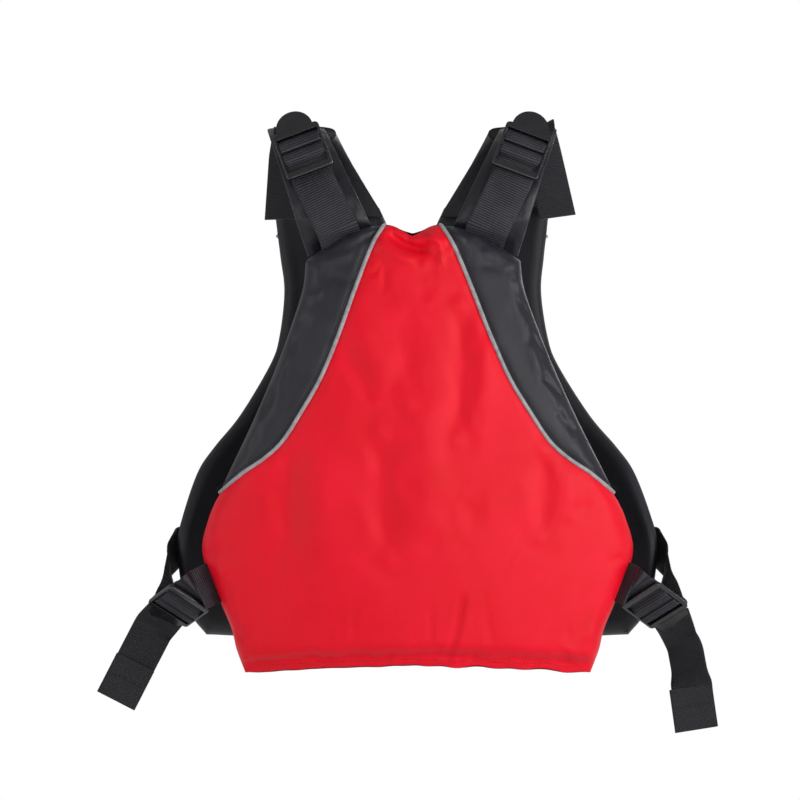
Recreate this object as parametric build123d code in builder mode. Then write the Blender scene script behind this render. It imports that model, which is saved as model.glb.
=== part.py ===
from build123d import *
import os

os.makedirs("parts", exist_ok=True)

# A paddling life jacket as it hangs when worn. Millimetres, +Z up, the back panel faces -Y.
# The origin is the middle of the shoulder seat: the height at which the pads rest on the shoulders.
# Outlines are drawn as (x, height above the hem), for the right side.

# ---- driving dimensions -------------------------------------------------------------------------
HEM = -482.0                 # z of the back hem
WEB = 38.0                   # webbing width
WEB_T = 1.6                  # webbing thickness
FOAM = 14.0                  # one foam sheet; each panel holds two
CLOTH = 1.2                  # cover and lining thickness
FACE = FOAM + CLOTH          # a panel's outer face, from its middle
FOAM_ACROSS = 0.985          # the foam's outline against the cover's, which leaves a rim of cover
FOAM_UP = 0.9925
PIPING = 3.6                 # width of the piping
PIPING_PROUD = 1.2

BACK_AXIS = 280.0            # y of the upright axis that the back panel bends round
BACK_RADII = (368.0, 384.0, 358.0)       # radius of its middle, bowed from hem to neck
FRONT_AXIS = -190.0
FRONT_RADII = (292.0, 278.0)             # straight, so that the zip is straight
PANEL_LOW = -20.0            # heights at which those radii hold
PANEL_MID = 200.0
PANEL_HIGH = 440.0

SHOULDER_MID = -5.0          # x between the shoulders, which hang a little to one side
LEAN_FROM = 100.0            # heights between which the jacket leans that way
LEAN_TO = 400.0

ARCH_Y = -4.0                # the shoulder arch is an ellipse: its centre, half depth and rise
ARCH_HEIGHT = 408.0
ARCH_DEPTH = 70.0
ARCH_RISE = 74.0
PAD_T = 14.0                 # front shoulder pad
UNDER_PAD_T = 5.0            # thin pad below the rear webbing
PANEL_TOP = 426.0            # where a front panel ends and its shoulder pad starts
STRAP_LEAVES = -30.0         # y at which the shoulder strap leaves the pad for its lock

LOCK_W = 44.0                # ladder lock: across the webbing, along it without the tab, thickness
LOCK_L = 46.0
LOCK_T = 4.6
LOCK_WALL = 2.4
LOCK_END_BAR = 6.0
LOCK_BAR_R = 1.8
LOCK_BARS = (-3.0, 8.0)      # the two round bars, along the lock
TAB_R = 17.0
PLY_UPPER = -3.6             # the two plies of webbing behind a lock
PLY_LOWER = -5.3
FLEX = 24.6                  # where the webbing flexes, from the lock's middle
TAIL_FLEX = 41.5
FLEX_GAP = 0.6               # each side of a flex line
SHOULDER_LOCK = (99.0, -82.0, 468.0)     # middle of a lock: x, y, height
SHOULDER_ALONG = (0.374, 0.404, 1.0)     # towards its tab
SHOULDER_SEWN = (66.5, -93.0, 392.5)     # where its webbing comes out of the back panel
# each waist lock's middle, its way from the anchor to the tab, and out of its face, left and right
WAIST_LOCKS = (((-218.1, -48.0, 55.4), (-0.52, 0.76, -0.387), (-0.3, -0.588, -0.75)),
               ((215.9, -52.0, 56.0), (0.664, 0.557, -0.498), (0.07, -0.731, -0.723)))
WAIST_SEWN = (172.0, -46.0, 83.0)    # where each anchor is sewn into the side seam
WAIST_TAIL_ENDS = ((-277.8, -22.0, -34.0), (257.8, -24.0, -60.0))
WAIST_TAIL_FACE = (0.1, -1.0, 0.0)
# where each shoulder tail starts to hang and where it ends, for the left and the right
SHOULDER_TAILS = (((114.5, -38.0, 470.0), (118.0, -46.0, 408.0)),
                  ((118.0, -38.0, 476.0), (133.0, -46.0, 410.0)))
TAIL_FOLD = 40.0             # the folded and sewn end of a waist tail
TAIL_TURN = 0.5              # how far the shoulder tails face outward
# the waist strap's way round the right side: its centre, across its width, and onward
WAIST_WRAP = (((222.5, 17.8, 106.0), (0.0, 0.0, -1.0), (-0.65, 0.75, 0.0)),
              ((230.0, -6.0, 95.0), (0.0, 0.45, -0.89), (-0.3, 0.85, 0.48)),
              ((228.0, -20.0, 75.0), (-0.25, 0.4, -0.88), (0.0, 0.8, 0.6)))
WAIST_UNDER = (2.0, 24.0, -10.0)   # the strap's last bend, in the lock's own axes
WAIST_CLEAR = 1.5            # gap that lets a waist lock lift, and its tail swing, without touching

ZIP_LOW = 22.0               # heights of the zip's ends
ZIP_HIGH = 366.0
ZIP_DEPTH = -4.0             # the zip lies this far inside the panels' middle
ZIP_HALF = 8.0               # half the valley between the front panels
TOOTH = (2.7, 2.6, 2.0)      # across, through, along
TOOTH_GAP = 1.4              # between the two rows
TOOTH_PITCH = 4.0
SLIDER = (9.6, 1.4, 11.0)    # one plate: across, through, along
SLIDER_ROOM = 3.6            # between its plates
PULL_LENGTH = 34.0
BAIL_LIFT = 2.7              # middle of the pull's pin above the slider
STOP_LENGTH = 3.0
ZIP_BOX = (9.0, 8.0)
ZIP_BOX_T = 4.4

BELT_HEIGHT = 106.0
BUCKLE_LIFT = 7.8            # middle of the buckle, out from the panels' face
BELT_START = 27.0            # where the belt starts under the buckle
KEEPER_X = 120.0
KEEPER_HALF = 12.0
KEEPER_SEWN = 6.0            # how far a keeper is sewn down beyond the belt
KEEPER_ROOM = 0.8
BELT_LEAVES = 224.0          # where the belt leaves the front panels
SOCKET_END = -34.0
SOCKET_MOUTH = 6.0
SOCKET_HIGH = 46.0
SOCKET_T = 11.0
CAVITY = 39.0
CAVITY_T = 6.4
PRESS_AT = -12.5             # middle of the openings where the prongs are pressed
PRESS_WIDE = 15.0
PLUG_T = 8.0
PRONG_T = 5.2
SLOT_LONG = WEB + 1.6
# one prong's outline, away from the plug's middle line
PRONG = ((5.8, 9), (5.8, 14), (-5.6, 15.5), (-5.6, 22), (-8, 22.6), (-18, 18), (-20, 14), (-18, 11.5),
         (-5, 10.5))

BACK_VIEW = Plane(origin=(0, 0, HEM), x_dir=(1, 0, 0), z_dir=(0, -1, 0))
FRONT_VIEW = Plane(origin=(0, -60, HEM), x_dir=(1, 0, 0), z_dir=(0, -1, 0))
SIDE_VIEW = Plane(origin=(0, 0, HEM), x_dir=(0, 1, 0), z_dir=(1, 0, 0))
BEHIND = 260.0
AHEAD = -380.0
SIDES = ((-1, "left"), (1, "right"))

# ---- outlines, right side -----------------------------------------------------------------------
NECK = ((0, 393), (8, 395.5), (25, 401), (60, 393), (97, 369))
WING_EDGE = ((97, 369), (100, 343), (112, 307), (126, 271), (148, 222), (171, 176), (179, 159),
             (190, 135), (196.5, 104), (183, 66), (170, 36), (165, 16), (157, -5))
BACK_HEM = ((157, -5), (90, 1), (0, 5))
BACK_SEAM = ((25, 402), (37.5, 380), (52, 344), (68.5, 300), (85, 262), (104, 230), (120, 206),
             (137, 190.5), (157, 177), (179, 159))
FRONT_NECK = ((ZIP_HALF, 372), (21, 404), (31, PANEL_TOP))
FRONT_TOP = ((31, PANEL_TOP), (130, PANEL_TOP))
FRONT_EDGE = ((130, PANEL_TOP), (124.5, 378), (121.5, 345), (127, 302), (136, 276), (164, 229),
              (188, 199), (203, 176), (216.5, 137), (222, 110), (219, 72), (211, 44), (197, 24))
FRONT_HEM = ((197, 24), (120, 17), (ZIP_HALF, 16))
FRONT_CENTRE = ((ZIP_HALF, 16), (ZIP_HALF, 372))
YOKE_SEAM = ((10, 398), (75, 385), (140, 402))
REAR_PAD = ((28, 385), (62, 454), (88, 510), (139, 510), (120, 454), (94, 372))
STRAP_BAND = ((62.8, 427), (94.8, 510), (135.6, 510), (103.6, 427))
FRONT_PAD = ((31, PANEL_TOP), (56.5, 470), (80.5, 515), (146, 515), (136, 470), (130, PANEL_TOP))


# ---- helpers ------------------------------------------------------------------------------------
def save(piece, name):
    piece.part.label = name
    export_step(piece.part, f"parts/{name}.step")


def leaned(side, point):
    """A right-side outline point on either side, moved over by the jacket's lean."""
    x, height = point
    share = min(1, max(0, (height - LEAN_FROM) / (LEAN_TO - LEAN_FROM)))
    return (side * x + SHOULDER_MID * share, height)


def run(side, points):
    placed = [leaned(side, point) for point in points]
    if len(placed) == 2:
        Line(*placed)
    else:
        Spline(*placed)


def outline(view, sides, runs):
    """A closed face from smooth runs that meet end to end."""
    with BuildSketch(view) as face:
        with BuildLine():
            for side in sides:
                for points in runs:
                    run(side, points)
        make_face()
    return face.sketch


def polygon(view, side, points):
    with BuildSketch(view) as face:
        with BuildLine():
            Polyline(*[leaned(side, point) for point in points], close=True)
        make_face()
    return face.sketch


def shrunk(runs):
    """The same runs drawn in towards the middle of the panel, which leaves the cover's rim."""
    return [[(x * FOAM_ACROSS, PANEL_MID + (h - PANEL_MID) * FOAM_UP) for x, h in points]
            for points in runs]


def sheet(axis_y, radii, inner, outer):
    """A layer of a panel: bent round an upright axis, between two depths from its middle."""
    away = 1 if axis_y > 0 else -1
    heights = (PANEL_LOW, PANEL_MID, PANEL_HIGH) if len(radii) == 3 else (PANEL_LOW, PANEL_HIGH)
    near, far = [[(away * (r + d), h) for r, h in zip(radii, heights)] for d in (inner, outer)]
    section = Plane(origin=(0, axis_y, HEM), x_dir=(0, 1, 0), z_dir=(1, 0, 0))
    with BuildSketch(section) as profile:
        with BuildLine():
            for points in (near, far):
                if len(points) == 3:
                    ThreePointArc(*points)
                else:
                    Line(*points)
            Line(near[0], far[0])
            Line(near[-1], far[-1])
        make_face()
    revolve(profile.sketch, axis=Axis((0, axis_y, 0), (0, 0, 1)))


def back_sheet(inner, outer):
    sheet(BACK_AXIS, BACK_RADII, inner, outer)


def front_sheet(inner, outer):
    sheet(FRONT_AXIS, FRONT_RADII, inner, outer)


def zip_y(height):
    """y of the front panels' middle at their centre line."""
    share = (height - PANEL_LOW) / (PANEL_HIGH - PANEL_LOW)
    return FRONT_AXIS + FRONT_RADII[0] + share * (FRONT_RADII[1] - FRONT_RADII[0])


def seam_strip(view, side, points):
    with BuildSketch(view) as face:
        with BuildLine() as seam:
            run(side, points)
        trace(seam.line, line_width=PIPING)
    return face.sketch


def strap_plane(origin, along, outward):
    """Local x across the webbing, y along it, z out of its face."""
    direction = Vector(*along).normalized()
    across = direction.cross(Vector(*outward)).normalized()
    return Plane(origin, x_dir=across, z_dir=across.cross(direction))


# ---- back panel ---------------------------------------------------------------------------------
BACK_RUNS = (NECK, WING_EDGE, BACK_HEM)
back_face = outline(BACK_VIEW, (1, -1), BACK_RUNS)
back_foam_face = outline(BACK_VIEW, (1, -1), shrunk(BACK_RUNS))

for name, inner in (("back_foam_inner", -FOAM), ("back_foam_outer", 0)):
    with BuildPart() as foam:
        back_sheet(inner, inner + FOAM)
        extrude(back_foam_face, amount=BEHIND, mode=Mode.INTERSECT)
    save(foam, name)

with BuildPart() as back_lining:
    back_sheet(-FACE, -FOAM)
    extrude(back_face, amount=BEHIND, mode=Mode.INTERSECT)
save(back_lining, "back_lining")

with BuildPart() as back_core:
    back_sheet(-FOAM, FOAM)
    extrude(back_foam_face, amount=BEHIND, mode=Mode.INTERSECT)

with BuildPart() as back_shell:
    back_sheet(-FOAM, FACE)
    extrude(back_face, amount=BEHIND, mode=Mode.INTERSECT)
    add(back_core.part, mode=Mode.SUBTRACT)

back_seams = [seam_strip(BACK_VIEW, side, BACK_SEAM) for side, _ in SIDES]
with BuildSketch(BACK_VIEW) as centre_region:
    with BuildLine():
        right_seam = Spline(*[leaned(1, point) for point in BACK_SEAM])
        left_seam = Spline(*[leaned(-1, point) for point in BACK_SEAM])
        Polyline(right_seam @ 0, (60, 440), (-60, 440), left_seam @ 0)
        Polyline(right_seam @ 1, (260, 159), (260, -60), (-260, -60), (-260, 159), left_seam @ 1)
    make_face()

with BuildPart() as back_cover:
    add(back_shell.part)
    extrude(centre_region.sketch, amount=BEHIND, mode=Mode.INTERSECT)
    for strip in back_seams:
        extrude(strip, amount=BEHIND, mode=Mode.SUBTRACT)
save(back_cover, "back_cover")

for (side, hand), strip in zip(SIDES, back_seams):
    with BuildPart() as wing:
        add(back_shell.part)
        extrude(centre_region.sketch, amount=BEHIND, mode=Mode.SUBTRACT)
        extrude(strip, amount=BEHIND, mode=Mode.SUBTRACT)
        split(bisect_by=Plane.YZ, keep=Keep.TOP if side > 0 else Keep.BOTTOM)
    save(wing, f"back_wing_{hand}")

    with BuildPart() as piping:
        back_sheet(FOAM, FACE + PIPING_PROUD)
        extrude(back_face, amount=BEHIND, mode=Mode.INTERSECT)
        extrude(strip, amount=BEHIND, mode=Mode.INTERSECT)
    save(piping, f"back_piping_{hand}")

# ---- front panels -------------------------------------------------------------------------------
FRONT_RUNS = (FRONT_NECK, FRONT_TOP, FRONT_EDGE, FRONT_HEM, FRONT_CENTRE)

for side, hand in SIDES:
    front_face = outline(FRONT_VIEW, (side,), FRONT_RUNS)
    inner_runs = [[(ZIP_HALF + 1.5 + (x - ZIP_HALF) * FOAM_ACROSS, h) for x, h in points]
                  for points in shrunk(FRONT_RUNS)]
    front_foam_face = outline(FRONT_VIEW, (side,), inner_runs)

    for name, inner in (("inner", -FOAM), ("outer", 0)):
        with BuildPart() as foam:
            front_sheet(inner, inner + FOAM)
            extrude(front_foam_face, amount=AHEAD, mode=Mode.INTERSECT)
        save(foam, f"front_foam_{name}_{hand}")

    with BuildPart() as front_lining:
        front_sheet(-FACE, -FOAM)
        extrude(front_face, amount=AHEAD, mode=Mode.INTERSECT)
    save(front_lining, f"front_lining_{hand}")

    with BuildPart() as front_core:
        front_sheet(-FOAM, FOAM)
        extrude(front_foam_face, amount=AHEAD, mode=Mode.INTERSECT)

    with BuildPart() as front_shell:
        front_sheet(-FOAM, FACE)
        extrude(front_face, amount=AHEAD, mode=Mode.INTERSECT)
        add(front_core.part, mode=Mode.SUBTRACT)

    yoke_strip = seam_strip(FRONT_VIEW, side, YOKE_SEAM)
    with BuildSketch(FRONT_VIEW) as below_yoke:
        with BuildLine():
            yoke_line = Spline(*[leaned(side, point) for point in YOKE_SEAM])
            low_corners = [(side * x, h) for x, h in ((270, 402), (270, -60), (-20, -60), (-20, 398))]
            Polyline(yoke_line @ 1, *low_corners, yoke_line @ 0)
        make_face()

    with BuildPart() as front_cover:
        add(front_shell.part)
        extrude(below_yoke.sketch, amount=AHEAD, mode=Mode.INTERSECT)
        extrude(yoke_strip, amount=AHEAD, mode=Mode.SUBTRACT)
    save(front_cover, f"front_cover_{hand}")

    with BuildPart() as front_yoke:
        add(front_shell.part)
        extrude(below_yoke.sketch, amount=AHEAD, mode=Mode.SUBTRACT)
        extrude(yoke_strip, amount=AHEAD, mode=Mode.SUBTRACT)
    save(front_yoke, f"front_yoke_{hand}")

    with BuildPart() as front_piping:
        front_sheet(FOAM, FACE + PIPING_PROUD)
        extrude(front_face, amount=AHEAD, mode=Mode.INTERSECT)
        extrude(yoke_strip, amount=AHEAD, mode=Mode.INTERSECT)
    save(front_piping, f"front_piping_{hand}")

# ---- shoulders ----------------------------------------------------------------------------------
def arch(inner, outer):
    """A layer of the shoulder arch, measured from its underside."""
    with BuildSketch(SIDE_VIEW) as ring:
        with Locations((ARCH_Y, ARCH_HEIGHT)):
            Ellipse(ARCH_DEPTH + outer, ARCH_RISE + outer)
            Ellipse(ARCH_DEPTH + inner, ARCH_RISE + inner, mode=Mode.SUBTRACT)
    extrude(ring.sketch, amount=200, both=True)


def ladder_lock(place):
    """A flat frame with two round bars and a half-round thumb tab at its far end."""
    window = LOCK_L - 2 * LOCK_END_BAR
    with BuildPart() as lock:
        with BuildSketch(place):
            RectangleRounded(LOCK_W, LOCK_L, 4)
            Rectangle(LOCK_W - 2 * LOCK_WALL, window, mode=Mode.SUBTRACT)
        extrude(amount=LOCK_T / 2, both=True)
        rims = lock.faces().sort_by(Axis(place.origin, place.z_dir))
        fillet([rims[0].outer_wire().edges(), rims[-1].outer_wire().edges()], radius=1.2)
        with BuildSketch(place):
            with Locations((0, LOCK_L / 2)):
                Circle(TAB_R)
            with Locations((0, LOCK_L / 2 - LOCK_END_BAR / 2 - TAB_R)):
                Rectangle(3 * TAB_R, 2 * TAB_R, mode=Mode.SUBTRACT)
        extrude(amount=1.3, both=True)
        for bar in LOCK_BARS:
            foot = place.from_local_coords(Vector((1 - LOCK_W) / 2, bar, 0))
            with BuildSketch(Plane(foot, x_dir=place.y_dir, z_dir=place.x_dir)):
                Circle(LOCK_BAR_R)
            extrude(amount=LOCK_W - 1)
    return lock


def lock_loop(place, bar, side, upper_end, lower_end):
    """Webbing over one bar, with both plies led out behind the lock's end on that side."""
    high = LOCK_BAR_R + 0.3 + WEB_T / 2
    turn = bar - side * 3.2
    path = ((side * upper_end, PLY_UPPER), (bar + side * 9, PLY_UPPER), (bar + side * 3.5, high),
            (turn, high), (turn, -high), (bar + side * 5, PLY_LOWER), (side * lower_end, PLY_LOWER))
    section = Plane(place.origin, x_dir=place.y_dir, z_dir=place.x_dir)
    with BuildPart() as loop:
        with BuildSketch(section):
            with BuildLine() as route:
                FilletPolyline(*path, radius=1.2)
            trace(route.line, line_width=WEB_T)
        extrude(amount=WEB / 2, both=True)
    return loop


def strip(start, end, outward, cut_at, cut_along, thickness=WEB_T, lift=0.0):
    """A flat run of webbing that starts square to a flex line; cut_along points along the run."""
    along = Vector(*end) - Vector(*start)
    place = strap_plane(start, along, outward)
    with BuildSketch(place.offset(lift)) as face:
        with Locations((0, -WEB)):
            Rectangle(WEB, along.length + WEB, align=(Align.CENTER, Align.MIN))
    run_of_webbing = extrude(face.sketch, amount=thickness / 2, both=True, mode=Mode.PRIVATE)
    add(split(run_of_webbing, bisect_by=Plane(cut_at, z_dir=cut_along), mode=Mode.PRIVATE))


for (side, hand), tail_ends in zip(SIDES, SHOULDER_TAILS):
    x, y, height = SHOULDER_LOCK
    place = strap_plane((side * x + SHOULDER_MID, y, HEM + height),
                        (side * SHOULDER_ALONG[0], *SHOULDER_ALONG[1:]), (0, -1, 0))
    flex = place.from_local_coords(Vector(0, -FLEX - FLEX_GAP, PLY_UPPER))
    strap_end = place.from_local_coords(Vector(0, FLEX + 2 * FLEX_GAP + 0.6, PLY_LOWER))

    save(ladder_lock(place), f"shoulder_lock_{hand}")
    save(lock_loop(place, LOCK_BARS[0], -1, FLEX - FLEX_GAP, FLEX - FLEX_GAP),
         f"shoulder_anchor_loop_{hand}")
    save(lock_loop(place, LOCK_BARS[1], 1, FLEX - FLEX_GAP, FLEX - FLEX_GAP),
         f"shoulder_strap_loop_{hand}")

    with BuildPart() as anchor:
        x, y, height = SHOULDER_SEWN
        sewn = Vector(side * x + SHOULDER_MID, y, HEM + height)
        strip(flex, sewn, (0, -1, 0), flex, -place.y_dir)
    save(anchor, f"shoulder_anchor_{hand}")

    with BuildPart() as rear_pad:
        arch(PAD_T - UNDER_PAD_T, PAD_T)
        extrude(polygon(BACK_VIEW, side, REAR_PAD), amount=BEHIND, mode=Mode.INTERSECT)
        extrude(back_face, amount=BEHIND, mode=Mode.SUBTRACT)
    save(rear_pad, f"shoulder_rear_pad_{hand}")

    with BuildPart() as front_pad:
        arch(0, PAD_T)
        extrude(polygon(BACK_VIEW, side, FRONT_PAD), amount=AHEAD, mode=Mode.INTERSECT)
    save(front_pad, f"shoulder_front_pad_{hand}")

    over = PAD_T + 0.3
    with BuildPart() as strap:
        with BuildSketch(SIDE_VIEW):
            with Locations((ARCH_Y, ARCH_HEIGHT)):
                Ellipse(ARCH_DEPTH + over + WEB_T, ARCH_RISE + over + WEB_T)
                Ellipse(ARCH_DEPTH + over, ARCH_RISE + over, mode=Mode.SUBTRACT)
            with Locations((STRAP_LEAVES, 0)):
                Rectangle(300, 2 * PANEL_HIGH + 200, align=(Align.MIN, Align.CENTER), mode=Mode.INTERSECT)
            with BuildLine() as bridge:
                drop = (1 - ((STRAP_LEAVES - ARCH_Y) / (ARCH_DEPTH + over + WEB_T / 2)) ** 2) ** 0.5
                top = ARCH_HEIGHT + drop * (ARCH_RISE + over + WEB_T / 2)
                Line((strap_end.Y, strap_end.Z - HEM), (STRAP_LEAVES + 0.5, top))
            trace(bridge.line, line_width=WEB_T)
        extrude(amount=200, both=True)
        extrude(polygon(Plane(BACK_VIEW.origin - (0, 200, 0), x_dir=(1, 0, 0), z_dir=(0, -1, 0)),
                        side, STRAP_BAND), amount=-400, mode=Mode.INTERSECT)
    save(strap, f"shoulder_strap_{hand}")

    with BuildPart() as tail:
        top, end = [Vector(side * x + SHOULDER_MID, y, HEM + height) for x, y, height in tail_ends]
        strip(top, end, (side * TAIL_TURN, -1, 0), top, end - top)
    save(tail, f"shoulder_tail_{hand}")

# ---- waist --------------------------------------------------------------------------------------
for (side, hand), (middle, along, outward), tail_end in zip(SIDES, WAIST_LOCKS, WAIST_TAIL_ENDS):
    x, y, height = middle
    place = strap_plane((x, y, HEM + height), along, outward)
    flex = place.from_local_coords(Vector(0, -FLEX - FLEX_GAP, PLY_UPPER))
    tail_top = place.from_local_coords(Vector(0, TAIL_FLEX + FLEX_GAP, PLY_UPPER))

    save(ladder_lock(place), f"waist_lock_{hand}")
    save(lock_loop(place, LOCK_BARS[0], -1, FLEX - FLEX_GAP, FLEX - FLEX_GAP), f"waist_anchor_loop_{hand}")
    save(lock_loop(place, LOCK_BARS[1], 1, TAIL_FLEX - FLEX_GAP, FLEX - FLEX_GAP),
         f"waist_strap_loop_{hand}")

    with BuildPart() as anchor:
        x, y, height = WAIST_SEWN
        strip(flex, Vector(side * x, y, HEM + height), outward,
              flex - place.y_dir * WAIST_CLEAR, -place.y_dir)
        extrude(back_face, amount=BEHIND, mode=Mode.SUBTRACT)
    save(anchor, f"waist_anchor_{hand}")

    with BuildPart() as tail:
        end = Vector(tail_end[0], tail_end[1], HEM + tail_end[2])
        face = (side * WAIST_TAIL_FACE[0], *WAIST_TAIL_FACE[1:])
        strip(tail_top, end, face, tail_top + place.y_dir * WAIST_CLEAR, place.y_dir)
        run_down = (end - tail_top).normalized()
        strip(tail_top, end, face, end - run_down * TAIL_FOLD, run_down, lift=WEB_T)
    save(tail, f"waist_tail_{hand}")

    with BuildPart() as strap:
        front_sheet(FACE + 0.3, FACE + 0.3 + WEB_T)
        band = [(BELT_START, BELT_HEIGHT - WEB / 2), (BELT_LEAVES, BELT_HEIGHT - WEB / 2),
                (BELT_LEAVES, BELT_HEIGHT + WEB / 2), (BELT_START, BELT_HEIGHT + WEB / 2)]
        extrude(polygon(FRONT_VIEW, side, band), amount=AHEAD, mode=Mode.INTERSECT)
        stations = [(Vector(side * x, y, HEM + h), Vector(side * ax, ay, az), Vector(side * ox, oy, oz))
                    for (x, y, h), (ax, ay, az), (ox, oy, oz) in WAIST_WRAP]
        under = place.from_local_coords(Vector(side * WAIST_UNDER[0], *WAIST_UNDER[1:]))
        downward = place.x_dir * (-1 if place.x_dir.Z > 0 else 1)
        stations.append((under, downward, Vector(0, 1, 1)))
        stations.append((place.from_local_coords(Vector(0, FLEX + FLEX_GAP, PLY_LOWER)),
                         downward, place.y_dir * 0.6 - place.z_dir * 0.8))
        for centre, across, onward in stations:
            onward = onward.normalized()
            across = (across - onward * across.dot(onward)).normalized()
            with BuildSketch(Plane(centre, x_dir=across, z_dir=onward)):
                Rectangle(WEB, WEB_T)
        loft(ruled=True)
    save(strap, f"waist_strap_{hand}")

keeper_low = BELT_HEIGHT - WEB / 2 - 1
keeper_high = BELT_HEIGHT + WEB / 2 + 1


def keeper_block(side, half_width, margin, outer):
    """A patch on the front panel where the belt passes."""
    inner_x, outer_x = KEEPER_X - half_width, KEEPER_X + half_width
    low, high = keeper_low - margin, keeper_high + margin
    with BuildPart() as block:
        front_sheet(FACE, outer)
        face = [(inner_x, low), (outer_x, low), (outer_x, high), (inner_x, high)]
        extrude(polygon(FRONT_VIEW, side, face), amount=AHEAD, mode=Mode.INTERSECT)
    return block.part


with BuildPart() as keepers:
    for side, _ in SIDES:
        patch = keeper_block(side, KEEPER_HALF, KEEPER_SEWN, FACE + 2 * WEB_T + KEEPER_ROOM)
        add(patch - keeper_block(side, 2 * KEEPER_HALF, 0, FACE + WEB_T + KEEPER_ROOM))
save(keepers, "belt_keepers")

# ---- zip ----------------------------------------------------------------------------------------
zip_foot_x, zip_foot = leaned(1, (0, FRONT_CENTRE[0][1]))
zip_head_x, zip_head = leaned(1, (0, FRONT_CENTRE[1][1]))
ZIP_LEAN = (zip_head_x - zip_foot_x) / (zip_head - zip_foot)
ZIP_UP = (ZIP_LEAN, zip_y(1) - zip_y(0), 1)


def zip_plane(height):
    """Local x towards -X, y up the zip, z out of the front."""
    x = (height - zip_foot) * ZIP_LEAN
    return strap_plane((x, zip_y(height) + ZIP_DEPTH, HEM + height), ZIP_UP, (0, 1, 0))


teeth_low = ZIP_LOW + 9
teeth_high = ZIP_HIGH - 4
tooth_count = int((teeth_high - teeth_low) / TOOTH_PITCH)
middle = zip_plane((ZIP_LOW + ZIP_HIGH) / 2)
teeth_middle = zip_plane((teeth_low + teeth_high) / 2)
foot = zip_plane(ZIP_LOW)
head = zip_plane(ZIP_HIGH)

for side, hand in SIDES:
    tape_inner = TOOTH_GAP / 2 + TOOTH[0] + 0.1
    with BuildPart() as tape:
        with BuildSketch(middle):
            with Locations((-side * (tape_inner + ZIP_HALF) / 2, 0)):
                Rectangle(ZIP_HALF - tape_inner, ZIP_HIGH - ZIP_LOW)
        extrude(amount=0.45, both=True)
    save(tape, f"zip_tape_{hand}")

    with BuildPart() as teeth:
        with BuildSketch(teeth_middle):
            row_x = -side * (TOOTH_GAP / 2 + TOOTH[0] / 2)
            with Locations((row_x, side * TOOTH_PITCH / 4)):
                with GridLocations(1, TOOTH_PITCH, 1, tooth_count):
                    RectangleRounded(TOOTH[0], TOOTH[2], 0.5)
        extrude(amount=TOOTH[1] / 2, both=True)
    save(teeth, f"zip_teeth_{hand}")

with BuildPart() as zip_stops:
    with BuildSketch(foot):
        Rectangle(*ZIP_BOX, align=(Align.CENTER, Align.MIN))
    extrude(amount=ZIP_BOX_T / 2, both=True)
    for side, _ in SIDES:
        with BuildSketch(foot):
            with Locations((-side * (TOOTH_GAP / 2 + TOOTH[0] + ZIP_HALF / 2), 0)):
                Rectangle(ZIP_HALF, 20)
        extrude(amount=0.5, both=True, mode=Mode.SUBTRACT)
    for side, _ in SIDES:
        with BuildSketch(head):
            with Locations((-side * (TOOTH_GAP / 2 + TOOTH[0] / 2), 0)):
                Rectangle(TOOTH[0], STOP_LENGTH, align=(Align.CENTER, Align.MAX))
        extrude(amount=STOP_LENGTH / 2, both=True)
save(zip_stops, "zip_stops")

slider_at = zip_plane(ZIP_HIGH - STOP_LENGTH - 0.6 - SLIDER[2] / 2)
plate_out = SLIDER_ROOM / 2 + SLIDER[1]
bail_z = plate_out + BAIL_LIFT
with BuildPart() as slider:
    with BuildSketch(slider_at.offset(-plate_out), slider_at.offset(SLIDER_ROOM / 2)):
        RectangleRounded(SLIDER[0], SLIDER[2], 2.5)
    extrude(amount=SLIDER[1])
    with BuildSketch(slider_at):
        Rectangle(0.8, SLIDER[2] - 2)
    extrude(amount=SLIDER_ROOM / 2, both=True)
    with BuildSketch(slider_at.offset(plate_out)):
        with Locations((-2.9, 0), (2.9, 0)):
            Rectangle(1.4, 4)
    extrude(amount=3.6)
    bar_start = slider_at.from_local_coords(Vector(-3, 0, bail_z))
    with BuildSketch(Plane(bar_start, x_dir=slider_at.y_dir, z_dir=slider_at.x_dir)):
        Circle(0.9)
    extrude(amount=6)
save(slider, "zip_slider")

with BuildPart() as pull:
    eye_start = slider_at.from_local_coords(Vector(-1.6, 0, bail_z))
    with BuildSketch(Plane(eye_start, x_dir=slider_at.y_dir, z_dir=slider_at.x_dir)):
        Circle(2.3)
        with Locations((-3.5, 0)):
            Rectangle(7, 1.6)
        Circle(1.2, mode=Mode.SUBTRACT)
    extrude(amount=3.2)
    with BuildSketch(slider_at.offset(bail_z)):
        with Locations((0, -6)):
            Rectangle(4, 4)
        with Locations((0, -6 - PULL_LENGTH / 2)):
            RectangleRounded(7, PULL_LENGTH - 4, 2.5)
        with Locations((0, -PULL_LENGTH)):
            Circle(1.8, mode=Mode.SUBTRACT)
    extrude(amount=0.8, both=True)
save(pull, "zip_pull")

# ---- belt buckle --------------------------------------------------------------------------------
buckle_y = zip_y(BELT_HEIGHT) + FACE + BUCKLE_LIFT
buckle = Plane((0, buckle_y, HEM + BELT_HEIGHT), x_dir=(1, 0, 0), z_dir=(0, 1, 0))

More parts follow.
